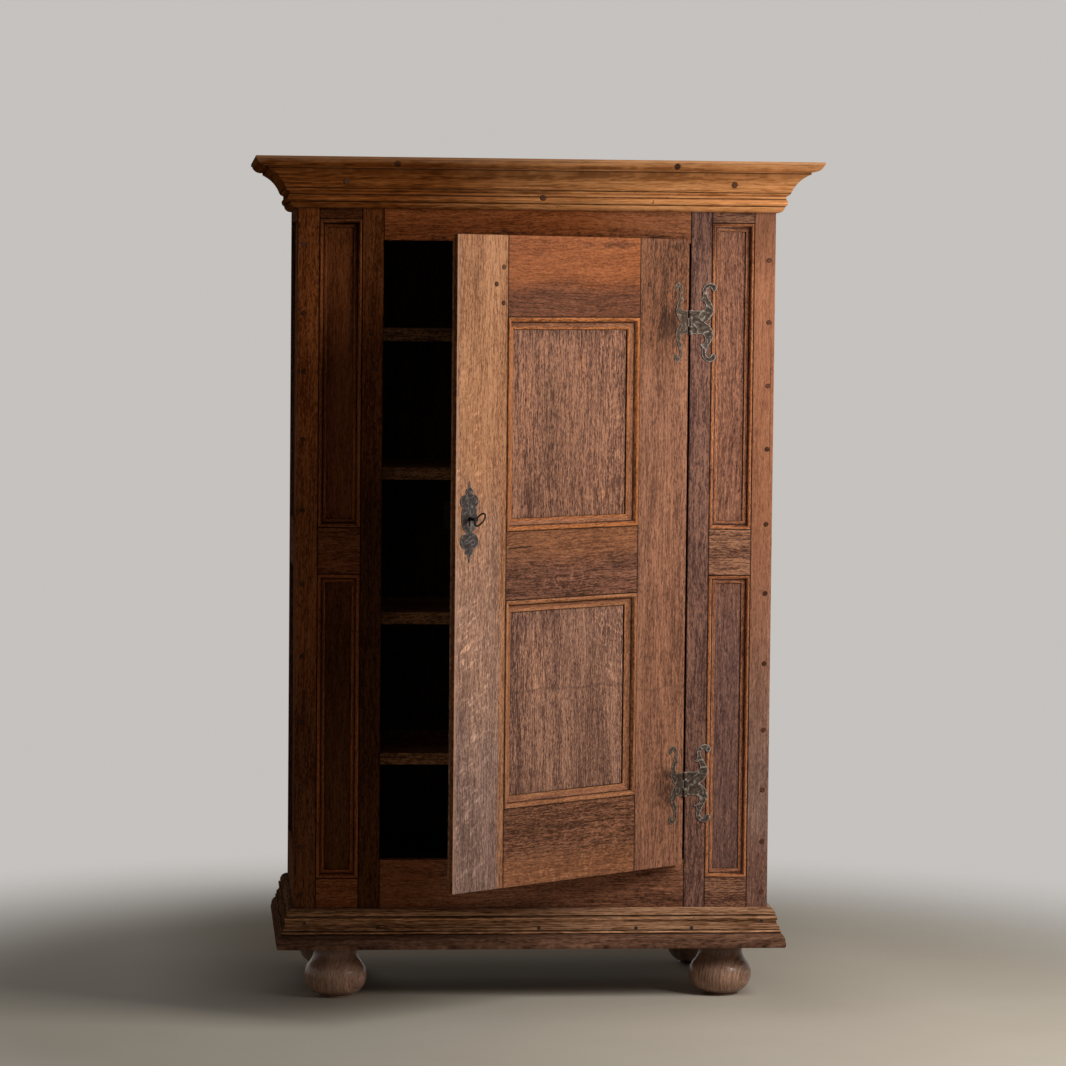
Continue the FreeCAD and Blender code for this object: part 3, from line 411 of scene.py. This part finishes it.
def lit_and_rubbed_edge(axis, start, full, tint, strength):
    """Paler wood towards an edge: painted highlight where light catches it, and bare, rubbed wood."""
    def lay(s):
        ragged = s.noise(s.far_u * 30.0, s.v * 60.0, s.w * 60.0, 4.0, 0.65) - 0.5
        place = s.along(axis) + ragged * (2.2 * (full - start))
        s.colour = s.mix(s.span(place, start, full) * strength, s.colour, tint)
    return lay


def shade_under_cornice(depth, reach=0.18):
    """Painted shade under the cornice: the colour darkens upwards to it."""
    def lay(s):
        kept = s.span(s.along("z"), CORNICE_Z - reach, CORNICE_Z, 1.0, 1.0 - depth)
        s.colour = s.times(s.colour, kept)
    return lay


def dirt_and_hollow_shade(depth, reach=0.016):
    """Darker in the hollows, found by ambient occlusion: painted shade, and dirt gathered there."""
    def lay(s):
        hollow = Field(s, s.add("AmbientOcclusion", {"samples": 4}, {"Distance": reach}).outputs["AO"])
        kept = s.span(hollow, 0.30, 0.95, 1.0 - depth, 1.0)
        s.colour = s.times(s.colour, kept)
    return lay


def middle(node, on_door):
    """Centre of a node's box, a door piece's as it lies when shut."""
    points = [vertex.co for vertex in nodes[node].data.vertices]
    if on_door:
        points = [UNSWING @ (point - AXIS) + AXIS for point in points]
    return [(min(p[i] for p in points) + max(p[i] for p in points)) / 2 for i in range(3)]


def oak(node, grain, tones, seed, on_door=False, heart=(0.22, 0.16), taper=0.010, streak=1.0, draw=1.0,
        mitre=None, boards=None, marks=(), gloss=0.50, shine=0.08):
    """A node's oak. heart is where the tree's heart lies, across and into the wood, from the node's middle;
    in mitred lengths it is from the frame's origin."""
    s = Oak(node, seed, on_door)
    if mitre:
        s.run_mitred(*mitre)
    else:
        s.run(grain)
        x, y, z = middle(node, on_door)
        across, into = {"x": (z, y), "y": (x, z), "z": (x, y)}[grain]
        heart = (across + heart[0], into + heart[1])
    if boards:
        s.split(*boards)
    s.figure(heart, taper, streak, draw)
    s.colour = s.stained(tones)
    if boards:
        level = s.span(s.noise(s.board * 7.3, s.seed, 0.5, 0.0), 0.3, 0.7, 0.72, 1.25)
        s.colour = s.times(s.colour, level)
    open_pores = s.span(s.pores, 0.62, 0.74)
    s.height = s.dashes + s.bands * 0.4 - open_pores * 0.6
    s.rough = s.span(s.tone, 0.0, 1.0, gloss + 0.14, gloss - 0.04)
    s.colour = s.mix(open_pores * 0.5, s.colour, s.times(s.colour, (0.34, 0.30, 0.28)))
    specks = s.span(s.noise(*s.xyz, detail=1.0, scale=120.0), 0.76, 0.80)
    s.colour = s.mix(specks * 0.8, s.colour, LINE)
    for mark in marks:
        mark(s)
    s.height = s.height + s.noise(s.far_u * 7.0, s.v * 24.0, s.w * 24.0) * 1.6
    s.surface(s.colour, s.rough, s.height, 0.0007, 0.5, Specular_IOR_Level=shine)
    return s.mat


def iron(name, tone, seed, bright, rust=(0.085, 0.046, 0.028), metallic=0.12, shine=0.15, chased=0.0):
    """Hammered iron: pitted, browned in patches, chased with curling lines, and bright at the edges and along
    the curls: painted highlight, and rubbed wear.
    """
    s = Shade(name)
    x, y, z = s.object_xyz()
    place = (x + seed, y, z)
    patches = s.noise(*place, detail=5.0, rough=0.62, scale=130.0)
    pits = s.noise(*place, detail=3.0, scale=620.0)
    hammer = s.noise(*place, scale=210.0)
    colour = s.mix(s.span(patches, 0.42, 0.66), tuple(c * 0.5 for c in tone), tone)
    colour = s.mix(s.span(patches, 0.58, 0.38) * 0.55, colour, rust)
    soft = s.add("Bevel", {"samples": 6}, {"Radius": 0.0030}).outputs[0]
    true = s.add("NewGeometry").outputs["Normal"]
    same = s.add("VectorMath", {"operation": "DOT_PRODUCT"}, {0: soft, 1: true}).outputs["Value"]
    edge = s.span(same, 0.992, 0.88) * s.span(pits, 0.25, 0.5)
    height = hammer * 1.4 + pits * 0.5
    if chased:
        curl = s.math("SINE", s.noise(*place, detail=0.0, scale=42.0) * 30.0)
        groove = s.span(curl, -0.5, -0.95) * chased
        colour = s.mix(groove, colour, (0.016, 0.011, 0.008))
        colour = s.mix(s.span(curl, 0.6, 0.98) * s.span(patches, 0.38, 0.6) * chased, colour, bright)
        height = height - groove
    colour = s.mix(edge * 0.85, colour, bright)
    colour = s.mix(s.span(pits, 0.56, 0.66) * 0.7, colour, (0.018, 0.014, 0.012))
    rough = s.span(patches, 0.3, 0.7, 0.62, 0.42) - edge * 0.12
    s.surface(colour, rough, height, 0.0006, 0.7, Metallic=metallic, Specular_IOR_Level=shine)
    return s.mat


def peg_end(name, on_door):
    """End grain of a dark peg."""
    s = Shade(name)
    x, y, z = s.object_xyz(on_door)
    grain = s.noise(x, y * 0.2, z, 3.0, 0.6, 620.0)
    rings = s.noise(x, y * 0.1, z, 2.0, 0.55, 150.0)
    age = s.span(s.noise(x, 0.0, z, 0.0, 0.5, 9.0), 0.38, 0.62)
    colour = s.mix(s.span(grain, 0.35, 0.7), (0.045, 0.019, 0.010), (0.125, 0.055, 0.032))
    colour = s.mix(s.span(rings, 0.5, 0.7) * 0.5, colour, (0.190, 0.085, 0.048))
    colour = s.mix(age * 0.5, colour, (0.200, 0.088, 0.052))
    s.surface(colour, s.span(grain, 0.0, 1.0, 0.7, 0.5), grain, 0.0005, 0.8, Specular_IOR_Level=0.04)
    return s.mat


def ease(piece, width):
    """Softens a node's edges as wear does; the solid itself is untouched."""
    weld = piece.modifiers.new("weld", "WELD")
    weld.merge_threshold = 0.00001
    flat = piece.modifiers.new("flat", "DECIMATE")
    flat.decimate_type = "DISSOLVE"
    flat.angle_limit = math.radians(0.4)
    bevel = piece.modifiers.new("ease", "BEVEL")
    bevel.width = width
    bevel.segments = 2
    bevel.limit_method = "ANGLE"
    bevel.angle_limit = math.radians(32.0)
    bevel.use_clamp_overlap = False
    piece.modifiers.new("normals", "WEIGHTED_NORMAL")


def dress(node, material, width):
    piece = nodes[node]
    piece.data.materials.clear()
    piece.data.materials.append(material)
    if width:
        ease(piece, width)


def wood(node, grain, tones, seed, width=BOARD_EASE, **settings):
    dress(node, oak(node, grain, tones, seed, **settings), width)


def between(start, end, count):
    """Where boards that lie side by side meet."""
    pitch = (end - start) / count
    return [start + pitch * i for i in range(1, count)]


def front_frame():
    wood("front_post_right", "z", tinted(RUST, 0.94, 0.96, 0.98), seed=1, streak=0.65,
         marks=[turning(DUN, "z", 1.1, 0.35), turning(PLUM, "z", 0.42, 0.28), seams_and_step_shade("x", POST_JOINT),
                shade_under_cornice(0.42)])
    # Lighter higher up and darker low down: painted light and shade where the door's shadow falls
    wood("front_post_left", "z", tinted(SHADE_RED, 1.22, 1.20, 1.05), seed=2, shine=0.0,
         marks=[turning(tinted(SHADE_RED, 1.9, 1.75, 1.35), "z", 1.0, 1.3),
                turning(tinted(SHADE_RED, 0.64, 0.70, 0.78), "z", 0.84, 0.53),
                seams_and_step_shade("x", -POST_JOINT), shade_under_cornice(0.66, 0.36)])
    wood("jamb_hinge_side", "z", PLUM, seed=3,
         marks=[seams_and_step_shade("x", JAMB_JOINT, OPEN_EDGE, width=0.0026), shade_under_cornice(0.42)])
    # Darker low down: painted shade of the door
    wood("jamb_lock_side", "z", tinted(SHADE_RED, 0.95, 0.92, 0.78), seed=4, shine=0.0,
         marks=[turning(tinted(SHADE_RED, 0.36, 0.40, 0.38), "z", 1.28, 1.02),
                seams_and_step_shade("x", -JAMB_JOINT, -OPEN_EDGE), shade_under_cornice(0.55, 0.30)])
    # Redder and darker to the left, orange to the right: painted light falling off towards the left
    wood("frieze_rail", "x", tinted(SHADE_RED, 0.76, 0.70, 0.58), seed=5, shine=0.03, streak=0.75,
         marks=[turning(tinted(ORANGE, 0.92, 1.08, 1.3), "x", 0.05, 0.32), seams_and_step_shade("x", -OPEN_EDGE, OPEN_EDGE),
                stain((0.10, FACE_Y, 1.626), (0.42, 0.06, 0.044), 0.92)])
    # Redder to the left: painted shade on the left
    wood("bottom_rail", "x", tinted(UMBER, 1.75, 1.95, 2.1), seed=6, shine=0.06, streak=0.7,
         marks=[turning(tinted(SHADE_RED, 0.85, 0.92, 1.0), "x", -0.05, -0.3), seams_and_step_shade("x", -OPEN_EDGE, OPEN_EDGE),
                stain((0.28, FACE_Y, 0.215), (0.10, 0.05, 0.02), 0.5),
                crack((-0.004, 0.298), (0.020, 0.206), 0.0016)])


def flank(side, sign, rails, panels, panels_low, beads, shine, cornice_shade):
    """Panelled field between a post and a jamb; the panels change tone towards the floor."""
    joints = seams_and_step_shade("x", sign * POST_JOINT, sign * JAMB_JOINT)
    levels = seams_and_step_shade("z", *[level for field in FLANK_FIELDS for level in field])
    inner, outer = sorted((sign * JAMB_JOINT, sign * POST_JOINT))
    wood("flank_rails_" + side, "x", rails, seed=12 + sign, shine=shine,
         marks=[joints, levels, shade_under_cornice(cornice_shade)])
    wood("flank_panels_" + side, "z", panels, seed=18 + sign, heart=(0.24, 0.16), shine=shine, streak=0.7,
         marks=[turning(panels_low, "z", 1.1, 0.7), shade_under_cornice(0.6 * cornice_shade), dirt_and_hollow_shade(0.5)])
    wood("flank_mouldings_" + side, "z", panels, seed=25 + sign, width=BEAD_EASE,
         mitre=("x", (inner, outer), "z", FLANK_FIELDS), heart=(2.6, 0.2), shine=shine, streak=0.8,
         marks=[rubbed_bead(0.0, 0.009, beads, 0.85), rubbed_bead(0.013, 0.019, beads, 0.6),
                quirks(0.0, 0.010, 0.019), shade_under_cornice(cornice_shade), dirt_and_hollow_shade(0.5)])


def cornice_and_base(side, grain, seed, shine, level):
    """One side of the cornice and of the base moulding; level is how light that base is, low on the left
    return as painted shade. The cornice darkens towards the left as painted shade, the base lightens towards
    the left as painted light in place of the floor's bounce.
    """
    wood("cornice_" + side, grain, tinted(GOLD, 1.25, 1.33, 1.40), seed=seed, width=FINE_EASE,
         heart=(1.3, 0.7), taper=0.002, draw=4.0, shine=shine, streak=0.85,
         marks=[turning(TREACLE, "x", 0.20, -0.32, 0.2),
                # Paler top edge of the cornice: painted highlight, with wear
                lit_and_rubbed_edge("z", 1.800, 1.808, (0.52, 0.29, 0.155), 0.4),
                arrises("z", *CORNICE_ARRISES), seams_and_step_shade("z", *CORNICE_STEPS, width=0.0018), dirt_and_hollow_shade(0.6, 0.02)])
    tones = tinted(BASE, 1.05 * level, 1.11 * level, 1.19 * level)
    left_tones = tinted(BASE, 1.4 * level, 1.4 * level, 1.35 * level)
    wood("base_moulding_" + side, grain, tones, seed=seed + 10, width=FINE_EASE,
         heart=(1.3, 0.7), taper=0.002, draw=3.0, shine=shine, streak=0.85,
         marks=[turning(left_tones, "x", 0.15, -0.30, 0.2),
                arrises("z", *BASE_ARRISES), seams_and_step_shade("z", *BASE_STEPS, width=0.0020), dirt_and_hollow_shade(0.5, 0.012)])


def plinth_and_feet():
    wood("plinth_boards", "x", tinted(PLINTH, 1.16, 1.23, 1.34), seed=51, width=NO_EASE,
         mitre=("x", PLINTH_X, "y", [PLINTH_Y]), heart=(0.9, 0.4), draw=2.0, shine=0.0, streak=0.65,
         marks=[dirt_and_hollow_shade(0.5)])
    for i, (node, level) in enumerate(FEET.items()):
        tones = tinted(FOOT, level * 1.02, level * 1.08, level * 1.14)
        neck = tinted(FOOT, level * 0.5, level * 0.47, level * 0.43)
        # The paler band on the front feet is a painted highlight; the darker neck is painted shade under the
        # base, with grime
        wood(node, "z", tones, seed=61 + i, width=FOOT_EASE, heart=(0.20, -0.15), taper=0.02, streak=0.5,
             gloss=0.18, shine=0.22,
             marks=[turning(neck, "z", 0.066, 0.100, 0.012),
                    gleam((0.422, -0.03, 0.045), (0.9, 0.04, 0.03), 0.4), dirt_and_hollow_shade(0.5)])


def sides_and_inside():
    wood("rear_posts", "z", UMBER, seed=71, shine=0.0, heart=(0.9, 0.3))
    wood("side_rails", "y", STILE, seed=72, shine=0.0, heart=(0.2, 0.9))
    wood("side_panels", "z", BROWN, seed=73, shine=0.0, heart=(0.05, 0.42), taper=0.015,
         marks=[flecks(0.5), dirt_and_hollow_shade(0.5)])
    wood("back_boards", "z", RAW, seed=74, shine=0.05, heart=(-0.20, 0.10), taper=0.02,
         boards=("x", *BACK_BOARDS),
         marks=[seams_and_step_shade("x", *between(*BACK_BOARDS), width=0.0030), turning(INSIDE_SHADE, "y", *BACK_INNER, 0.0002)])
    wood("back_rails", "x", INSIDE_SHADE, seed=75, shine=0.0)
    wood("roof_boards", "x", RAW, seed=76, shine=0.05, heart=(0.10, -0.05), boards=("y", *ROOF_BOARDS),
         marks=[seams_and_step_shade("y", *between(*ROOF_BOARDS), width=0.0030)])
    wood("floor_boards", "x", INSIDE_SHADE, seed=77, shine=0.0, heart=(-0.2, 0.1))
    wood("shelf_bearers", "y", INSIDE_SHADE, seed=78, shine=0.0, heart=(0.6, 0.3))
    for i, (node, level) in enumerate(SHELVES.items()):
        tones = tinted(SHELF, 1.4 * level, 1.35 * level, 1.2 * level)
        wood(node, "x", tones, seed=81 + i, shine=0.0)


def door_stiles():
    wood("door_lock_stile", "z", TAN, seed=91, width=STILE_EASE, on_door=True,
         heart=(0.5, 0.2), taper=0.004, streak=0.9, shine=0.04,
         # Greyer towards the bottom: painted reflection of the room
         marks=[turning(tinted(DUN, 1.28, 1.20, 1.08), "z", 1.26, 0.84, 0.2),
                turning(tinted(DUN, 0.92, 0.94, 0.98), "z", 0.86, 0.48, 0.2),
                flecks(1.0, (-0.305, DOOR_Y, 0.70), (0.085, 0.2, 0.62)),
                flecks(0.6, (-0.31, DOOR_Y, 1.25), (0.05, 0.2, 0.20)),
                turning(tinted(TAN, 0.88, 0.84, 0.80), "x", -0.226, -0.206, 0.014),
                stain((-0.288, DOOR_Y, 1.565), (0.012, 0.04, 0.050), 0.35),
                seams_and_step_shade("x", LOCK_JOINT, width=0.0032),
                # Paler, pinkish free edge: painted highlight, with wear
                lit_and_rubbed_edge("x", -0.331, DOOR_LEFT, (0.50, 0.33, 0.26), 0.7),
                turning(TREACLE, "x", -0.3404, -0.3412, 0.0003)])
    wood("door_hinge_stile", "z", tinted(STILE, 0.96, 0.97, 0.99), seed=92, width=STILE_EASE, on_door=True,
         taper=0.006, streak=0.95,
         marks=[turning(tinted(GREYED, 0.92, 0.87, 0.82), "z", 1.30, 1.47, 0.12),
                seams_and_step_shade("x", HINGE_JOINT, width=0.0026), tide(0.685, 0.35),
                gleam((0.26, DOOR_Y, 0.95), (0.05, 0.1, 0.35), 0.15),
                stain((0.266, DOOR_Y, HINGE_HIGH - 0.008), (0.036, 0.04, 0.058), 0.85),
                stain((0.268, DOOR_Y, HINGE_LOW), (0.036, 0.04, 0.060), 0.8)])


def door_rails():
    joints = seams_and_step_shade("x", LOCK_JOINT, HINGE_JOINT)
    wood("door_rail_top", "x", tinted(UMBER, 0.9, 0.85, 0.8), seed=93, width=RAIL_EASE, on_door=True,
         streak=0.65,
         marks=[turning(tinted(ORANGE, 1.0, 1.0, 0.95), "z", 1.525, 1.568, 0.025), joints,
                seams_and_step_shade("z", UPPER_FIELD[1]), stain((0.12, DOOR_Y, 1.634), (0.085, 0.04, 0.010), 0.7),
                stain((0.03, DOOR_Y, 1.63), (0.02, 0.04, 0.008), 0.5)])
    wood("door_rail_mid", "x", tinted(UMBER, 0.98, 1.08, 1.25), seed=94, width=RAIL_EASE, on_door=True,
         streak=0.9,
         marks=[turning(tinted(ORANGE, 0.80, 0.98, 1.2), "z", 0.945, 1.010, 0.025),
                flecks(0.9, (-0.02, DOOR_Y, 0.925), (0.12, 0.1, 0.03), 0.3),
                joints, seams_and_step_shade("z", LOWER_FIELD[1], UPPER_FIELD[0]),
                crack((-0.199, 1.0005), (-0.118, 1.0035), 0.0022),
                stain((0.150, DOOR_Y, 0.965), (0.075, 0.04, 0.03), 0.5)])
    wood("door_rail_bottom", "x", tinted(UMBER, 1.12, 1.25, 1.32), seed=95, width=RAIL_EASE, on_door=True,
         streak=0.9,
         marks=[turning(tinted(ORANGE, 0.88, 1.12, 1.45), "z", 0.365, 0.325, 0.02),
                flecks(0.5, lean=0.3), joints, seams_and_step_shade("z", LOWER_FIELD[0])])


def door_panels():
    wood("door_panel_upper", "z", tinted(BROWN, 0.90, 0.90, 0.93), seed=96, width=NO_EASE, on_door=True,
         heart=(0.34, 0.16), streak=1.05,
         marks=[stain((-0.062, PANEL_Y, 1.27), (0.030, 0.1, 0.20), 0.30),
                stain((0.0, PANEL_Y, 1.45), (0.16, 0.1, 0.025), 0.4),
                gleam((-0.13, PANEL_Y, 1.28), (0.035, 0.1, 0.16), 0.5),
                gleam((0.026, PANEL_Y, 1.38), (0.006, 0.1, 0.055), 0.8, (1.9, 1.6, 1.2)),
                flecks(0.8, (0.10, PANEL_Y, 1.39), (0.050, 0.1, 0.06), 0.8),
                flecks(0.7, (0.12, PANEL_Y, 1.22), (0.045, 0.1, 0.12)),
                gleam((0.092, PANEL_Y, 1.105), (0.012, 0.1, 0.014), 1.0, (1.9, 1.75, 1.5)), dirt_and_hollow_shade(0.5)])
    wood("door_panel_lower", "z", tinted(BROWN, 1.02, 1.11, 1.25), seed=97, width=NO_EASE, on_door=True,
         heart=(-0.3, 0.1),
         marks=[flecks(1.0, (0.13, PANEL_Y, 0.80), (0.075, 0.1, 0.15), -0.4),
                gleam((-0.10, PANEL_Y, 0.76), (0.05, 0.1, 0.10), 0.4),
                tide(0.699, 0.38), dirt_and_hollow_shade(0.5)])


def door_moulding(name, field, seed, beads):
    """Mitred lengths round a door panel."""
    wood("door_moulding_" + name, "z", tinted(STILE, 1.15, 1.1, 1.0), seed=seed, width=BEAD_EASE,
         on_door=True, mitre=("x", (LOCK_JOINT, HINGE_JOINT), "z", [field]), heart=(2.4, 0.2), streak=0.8,
         marks=[rubbed_bead(0.0, 0.0105, beads, 0.9), rubbed_bead(0.019, 0.027, beads, 0.8),
                quirks(0.0, 0.0115, 0.0265), dirt_and_hollow_shade(0.4)])


def hinge(level, door_tone):
    """Both leaves of a hinge; the one on the door is darker."""
    on_frame = iron("hinge_" + level, (0.185, 0.140, 0.106), seed=0.3, bright=(0.90, 0.82, 0.74), chased=0.4)
    on_door = iron("hinge_door_" + level, door_tone, seed=0.7, bright=(0.52, 0.43, 0.34), chased=0.35)
    dress("hinge_frame_leaf_" + level, on_frame, FINE_EASE)
    dress("hinge_door_leaf_" + level, on_door, FINE_EASE)


def pins_and_nails():
    pins = iron("pins", (0.10, 0.085, 0.072), seed=0.1, bright=(0.32, 0.27, 0.22))
    nails = iron("nails", (0.045, 0.038, 0.034), seed=0.5, bright=(0.12, 0.10, 0.085))
    door_nails = iron("nails_door", (0.060, 0.050, 0.042), seed=0.6, bright=(0.16, 0.135, 0.11))
    dress("hinge_pins", pins, NAIL_EASE)
    dress("carcass_nails", nails, NAIL_EASE)
    dress("door_nails", door_nails, NAIL_EASE)


def lock():
    plate = iron("plate", (0.093, 0.074, 0.067), seed=0.9, bright=(0.28, 0.235, 0.215),
                 rust=(0.045, 0.031, 0.024), chased=0.5)
    key = iron("key_iron", (0.022, 0.018, 0.016), seed=1.1, bright=(0.11, 0.095, 0.085),
               rust=(0.02, 0.013, 0.010))
    dress("escutcheon", plate, NAIL_EASE)
    dress("key", key, NO_EASE)
    for node in ("lock_case", "lock_bolt", "lock_keep"):
        dark = iron(node, (0.030, 0.026, 0.023), seed=1.3, bright=(0.060, 0.052, 0.046),
                    rust=(0.03, 0.02, 0.015), metallic=0.0, shine=0.0)
        dress(node, dark, FINE_EASE)


def seen_rays(tree):
    """1 for rays that show the background: to the camera, in a reflection or through glass."""
    path = tree.nodes.new("ShaderNodeLightPath")
    value = path.outputs["Is Camera Ray"]
    for kind in ("Is Glossy Ray", "Is Transmission Ray"):
        larger = tree.nodes.new("ShaderNodeMath")
        larger.operation = "MAXIMUM"
        tree.links.new(value, larger.inputs[0])
        tree.links.new(path.outputs[kind], larger.inputs[1])
        value = larger.outputs[0]
    return value


def floor_material():
    """Pale floor that glows a little away from the cupboard and fades out so that no edge shows; the glow is
    left out under and behind the cupboard as painted shadow.
    """
    s = Shade("floor")
    x, y = s.object_xyz()[:2]
    mottle = s.noise(x, y, 0.0, 6.0, 0.6, 3.0)
    matte = s.add("BsdfDiffuse", (), {"Color": s.mix(mottle, FLOOR_DARK, FLOOR_LIGHT)})
    out_x = s.math("MAXIMUM", abs(x) - DIM_HALF_X, 0.0)
    out_y = s.math("MAXIMUM", abs(y - DIM_Y) - DIM_HALF_Y, 0.0)
    outside_painted_shadow = s.span(s.math("SQRT", out_x * out_x + out_y * out_y), 0.0, DIM_EDGE)
    shown = outside_painted_shadow * Field(s, seen_rays(s.tree))
    glow = s.add("Emission", (), {"Color": FLOOR_GLOW, "Strength": shown})
    lit = s.add("AddShader", (), {0: matte.outputs[0], 1: glow.outputs[0]})
    far_off = s.span(s.math("SQRT", x * x + y * y), *FLOOR_FADE)
    fade = s.add("MixShader", (), {0: far_off, 1: lit.outputs[0], 2: s.add("BsdfTransparent").outputs[0]})
    s.put(s.out.inputs["Surface"], fade.outputs[0])
    return s.mat


def add_floor():
    r = FLOOR_HALF
    mesh = bpy.data.meshes.new("floor")
    mesh.from_pydata([(-r, -r, 0), (r, -r, 0), (r, r, 0), (-r, r, 0)], [], [(0, 1, 2, 3)])
    mesh.materials.append(floor_material())
    made = bpy.data.objects.new("floor", mesh)
    bpy.context.scene.collection.objects.link(made)
    return made


def background(tree, colour, strength):
    made = tree.nodes.new("ShaderNodeBackground")
    made.inputs["Color"].default_value = (*colour, 1.0)
    made.inputs["Strength"].default_value = strength
    return made.outputs[0]


def add_world():
    """An even, weak fill under a pale background."""
    world = bpy.data.worlds.new("studio")
    bpy.context.scene.world = world
    world.use_nodes = True
    tree = world.node_tree
    tree.nodes.clear()
    choose = tree.nodes.new("ShaderNodeMixShader")
    tree.links.new(seen_rays(tree), choose.inputs[0])
    tree.links.new(background(tree, FILL_TONE, FILL_STRENGTH), choose.inputs[1])
    tree.links.new(background(tree, PALE_TONE, 1.0), choose.inputs[2])
    tree.links.new(choose.outputs[0], tree.nodes.new("ShaderNodeOutputWorld").inputs[0])


def lamp(name, place, aim, size, power, colour, mirrored=True):
    """Soft rectangular lamp; mirrored says whether reflections show it."""
    light = bpy.data.lights.new(name, "AREA")
    light.shape = "RECTANGLE"
    light.size, light.size_y = size
    light.energy = power
    light.color = colour
    made = bpy.data.objects.new(name, light)
    bpy.context.scene.collection.objects.link(made)
    made.location = place
    made.rotation_euler = (Vector(aim) - Vector(place)).to_track_quat("-Z", "Y").to_euler()
    made.visible_camera = False
    made.visible_glossy = mirrored


def camera_turn():
    """The camera's rotation from its yaw, pitch and roll."""
    yaw, pitch, roll = [math.radians(angle) for angle in (CAMERA_YAW, CAMERA_PITCH, CAMERA_ROLL)]
    ahead = Vector((math.sin(yaw) * math.cos(pitch), math.cos(yaw) * math.cos(pitch), math.sin(pitch)))
    right = ahead.cross(Vector((0, 0, 1))).normalized()
    up = right.cross(ahead)
    rolled_right = right * math.cos(roll) + up * math.sin(roll)
    rolled_up = up * math.cos(roll) - right * math.sin(roll)
    return Matrix((rolled_right, rolled_up, -ahead)).transposed().to_4x4()


def add_camera():
    """Camera at the photograph's viewpoint."""
    data = bpy.data.cameras.new("camera")
    camera = bpy.data.objects.new("camera", data)
    bpy.context.scene.collection.objects.link(camera)
    camera.matrix_world = Matrix.Translation(CAMERA_PLACE) @ camera_turn()
    data.sensor_width = SENSOR_MM
    data.lens = SENSOR_MM * FOCAL_PX / IMAGE_PX
    data.clip_end = 100.0
    bpy.context.scene.camera = camera


# The cupboard
front_frame()
# The left-hand field in shaded tones, darker low down and deeper under the cornice: painted shade of the door
# and cornice
flank("left", -1, rails=SHADE_RED, panels=tinted(SHADE_RED, 0.86, 0.82, 0.75),
      panels_low=tinted(SHADE_RED, 0.42, 0.46, 0.46), beads=tinted(SHADE_RED, 1.6, 1.6, 1.5), shine=0.0, cornice_shade=0.75)
flank("right", 1, rails=BROWN, panels=tinted(BROWN, 1.18, 1.13, 1.17),
      panels_low=tinted(PLUM, 0.9, 0.94, 1.02), beads=tinted(HONEY, 1.32, 1.25, 1.2), shine=0.06, cornice_shade=0.42)
cornice_and_base("front", "x", seed=31, shine=0.03, level=1.0)
cornice_and_base("left", "y", seed=32, shine=0.0, level=0.45)
cornice_and_base("right", "y", seed=33, shine=0.03, level=1.0)
plinth_and_feet()
sides_and_inside()
door_stiles()
door_rails()
door_panels()
door_moulding("lower", LOWER_FIELD, seed=98, beads=tinted(HONEY, 1.1, 1.16, 1.25))
door_moulding("upper", UPPER_FIELD, seed=99, beads=tinted(HONEY, 1.2, 1.05, 0.8))
dress("carcass_pegs", peg_end("pegs", on_door=False), FINE_EASE)
dress("door_pegs", peg_end("pegs_door", on_door=True), FINE_EASE)
hinge("upper", door_tone=(0.110, 0.071, 0.050))
hinge("lower", door_tone=(0.082, 0.055, 0.042))
pins_and_nails()
lock()

# The studio: a large soft lamp from the right, a weaker one far behind
floor = add_floor()
add_world()
lamp("key", place=(1.80, -1.30, 1.88), aim=(0.0, -0.2, 1.2), size=(0.9, 1.56),
     power=48.5, colour=(1.0, 0.97, 0.93))
lamp("back", place=(-0.80, 4.00, 0.95), aim=(-0.1, 0.4, 0.9), size=(1.6, 1.6),
     power=24.0, colour=(1.0, 0.98, 0.95), mirrored=False)
add_camera()
bpy.context.scene.view_settings.view_transform = "Standard"
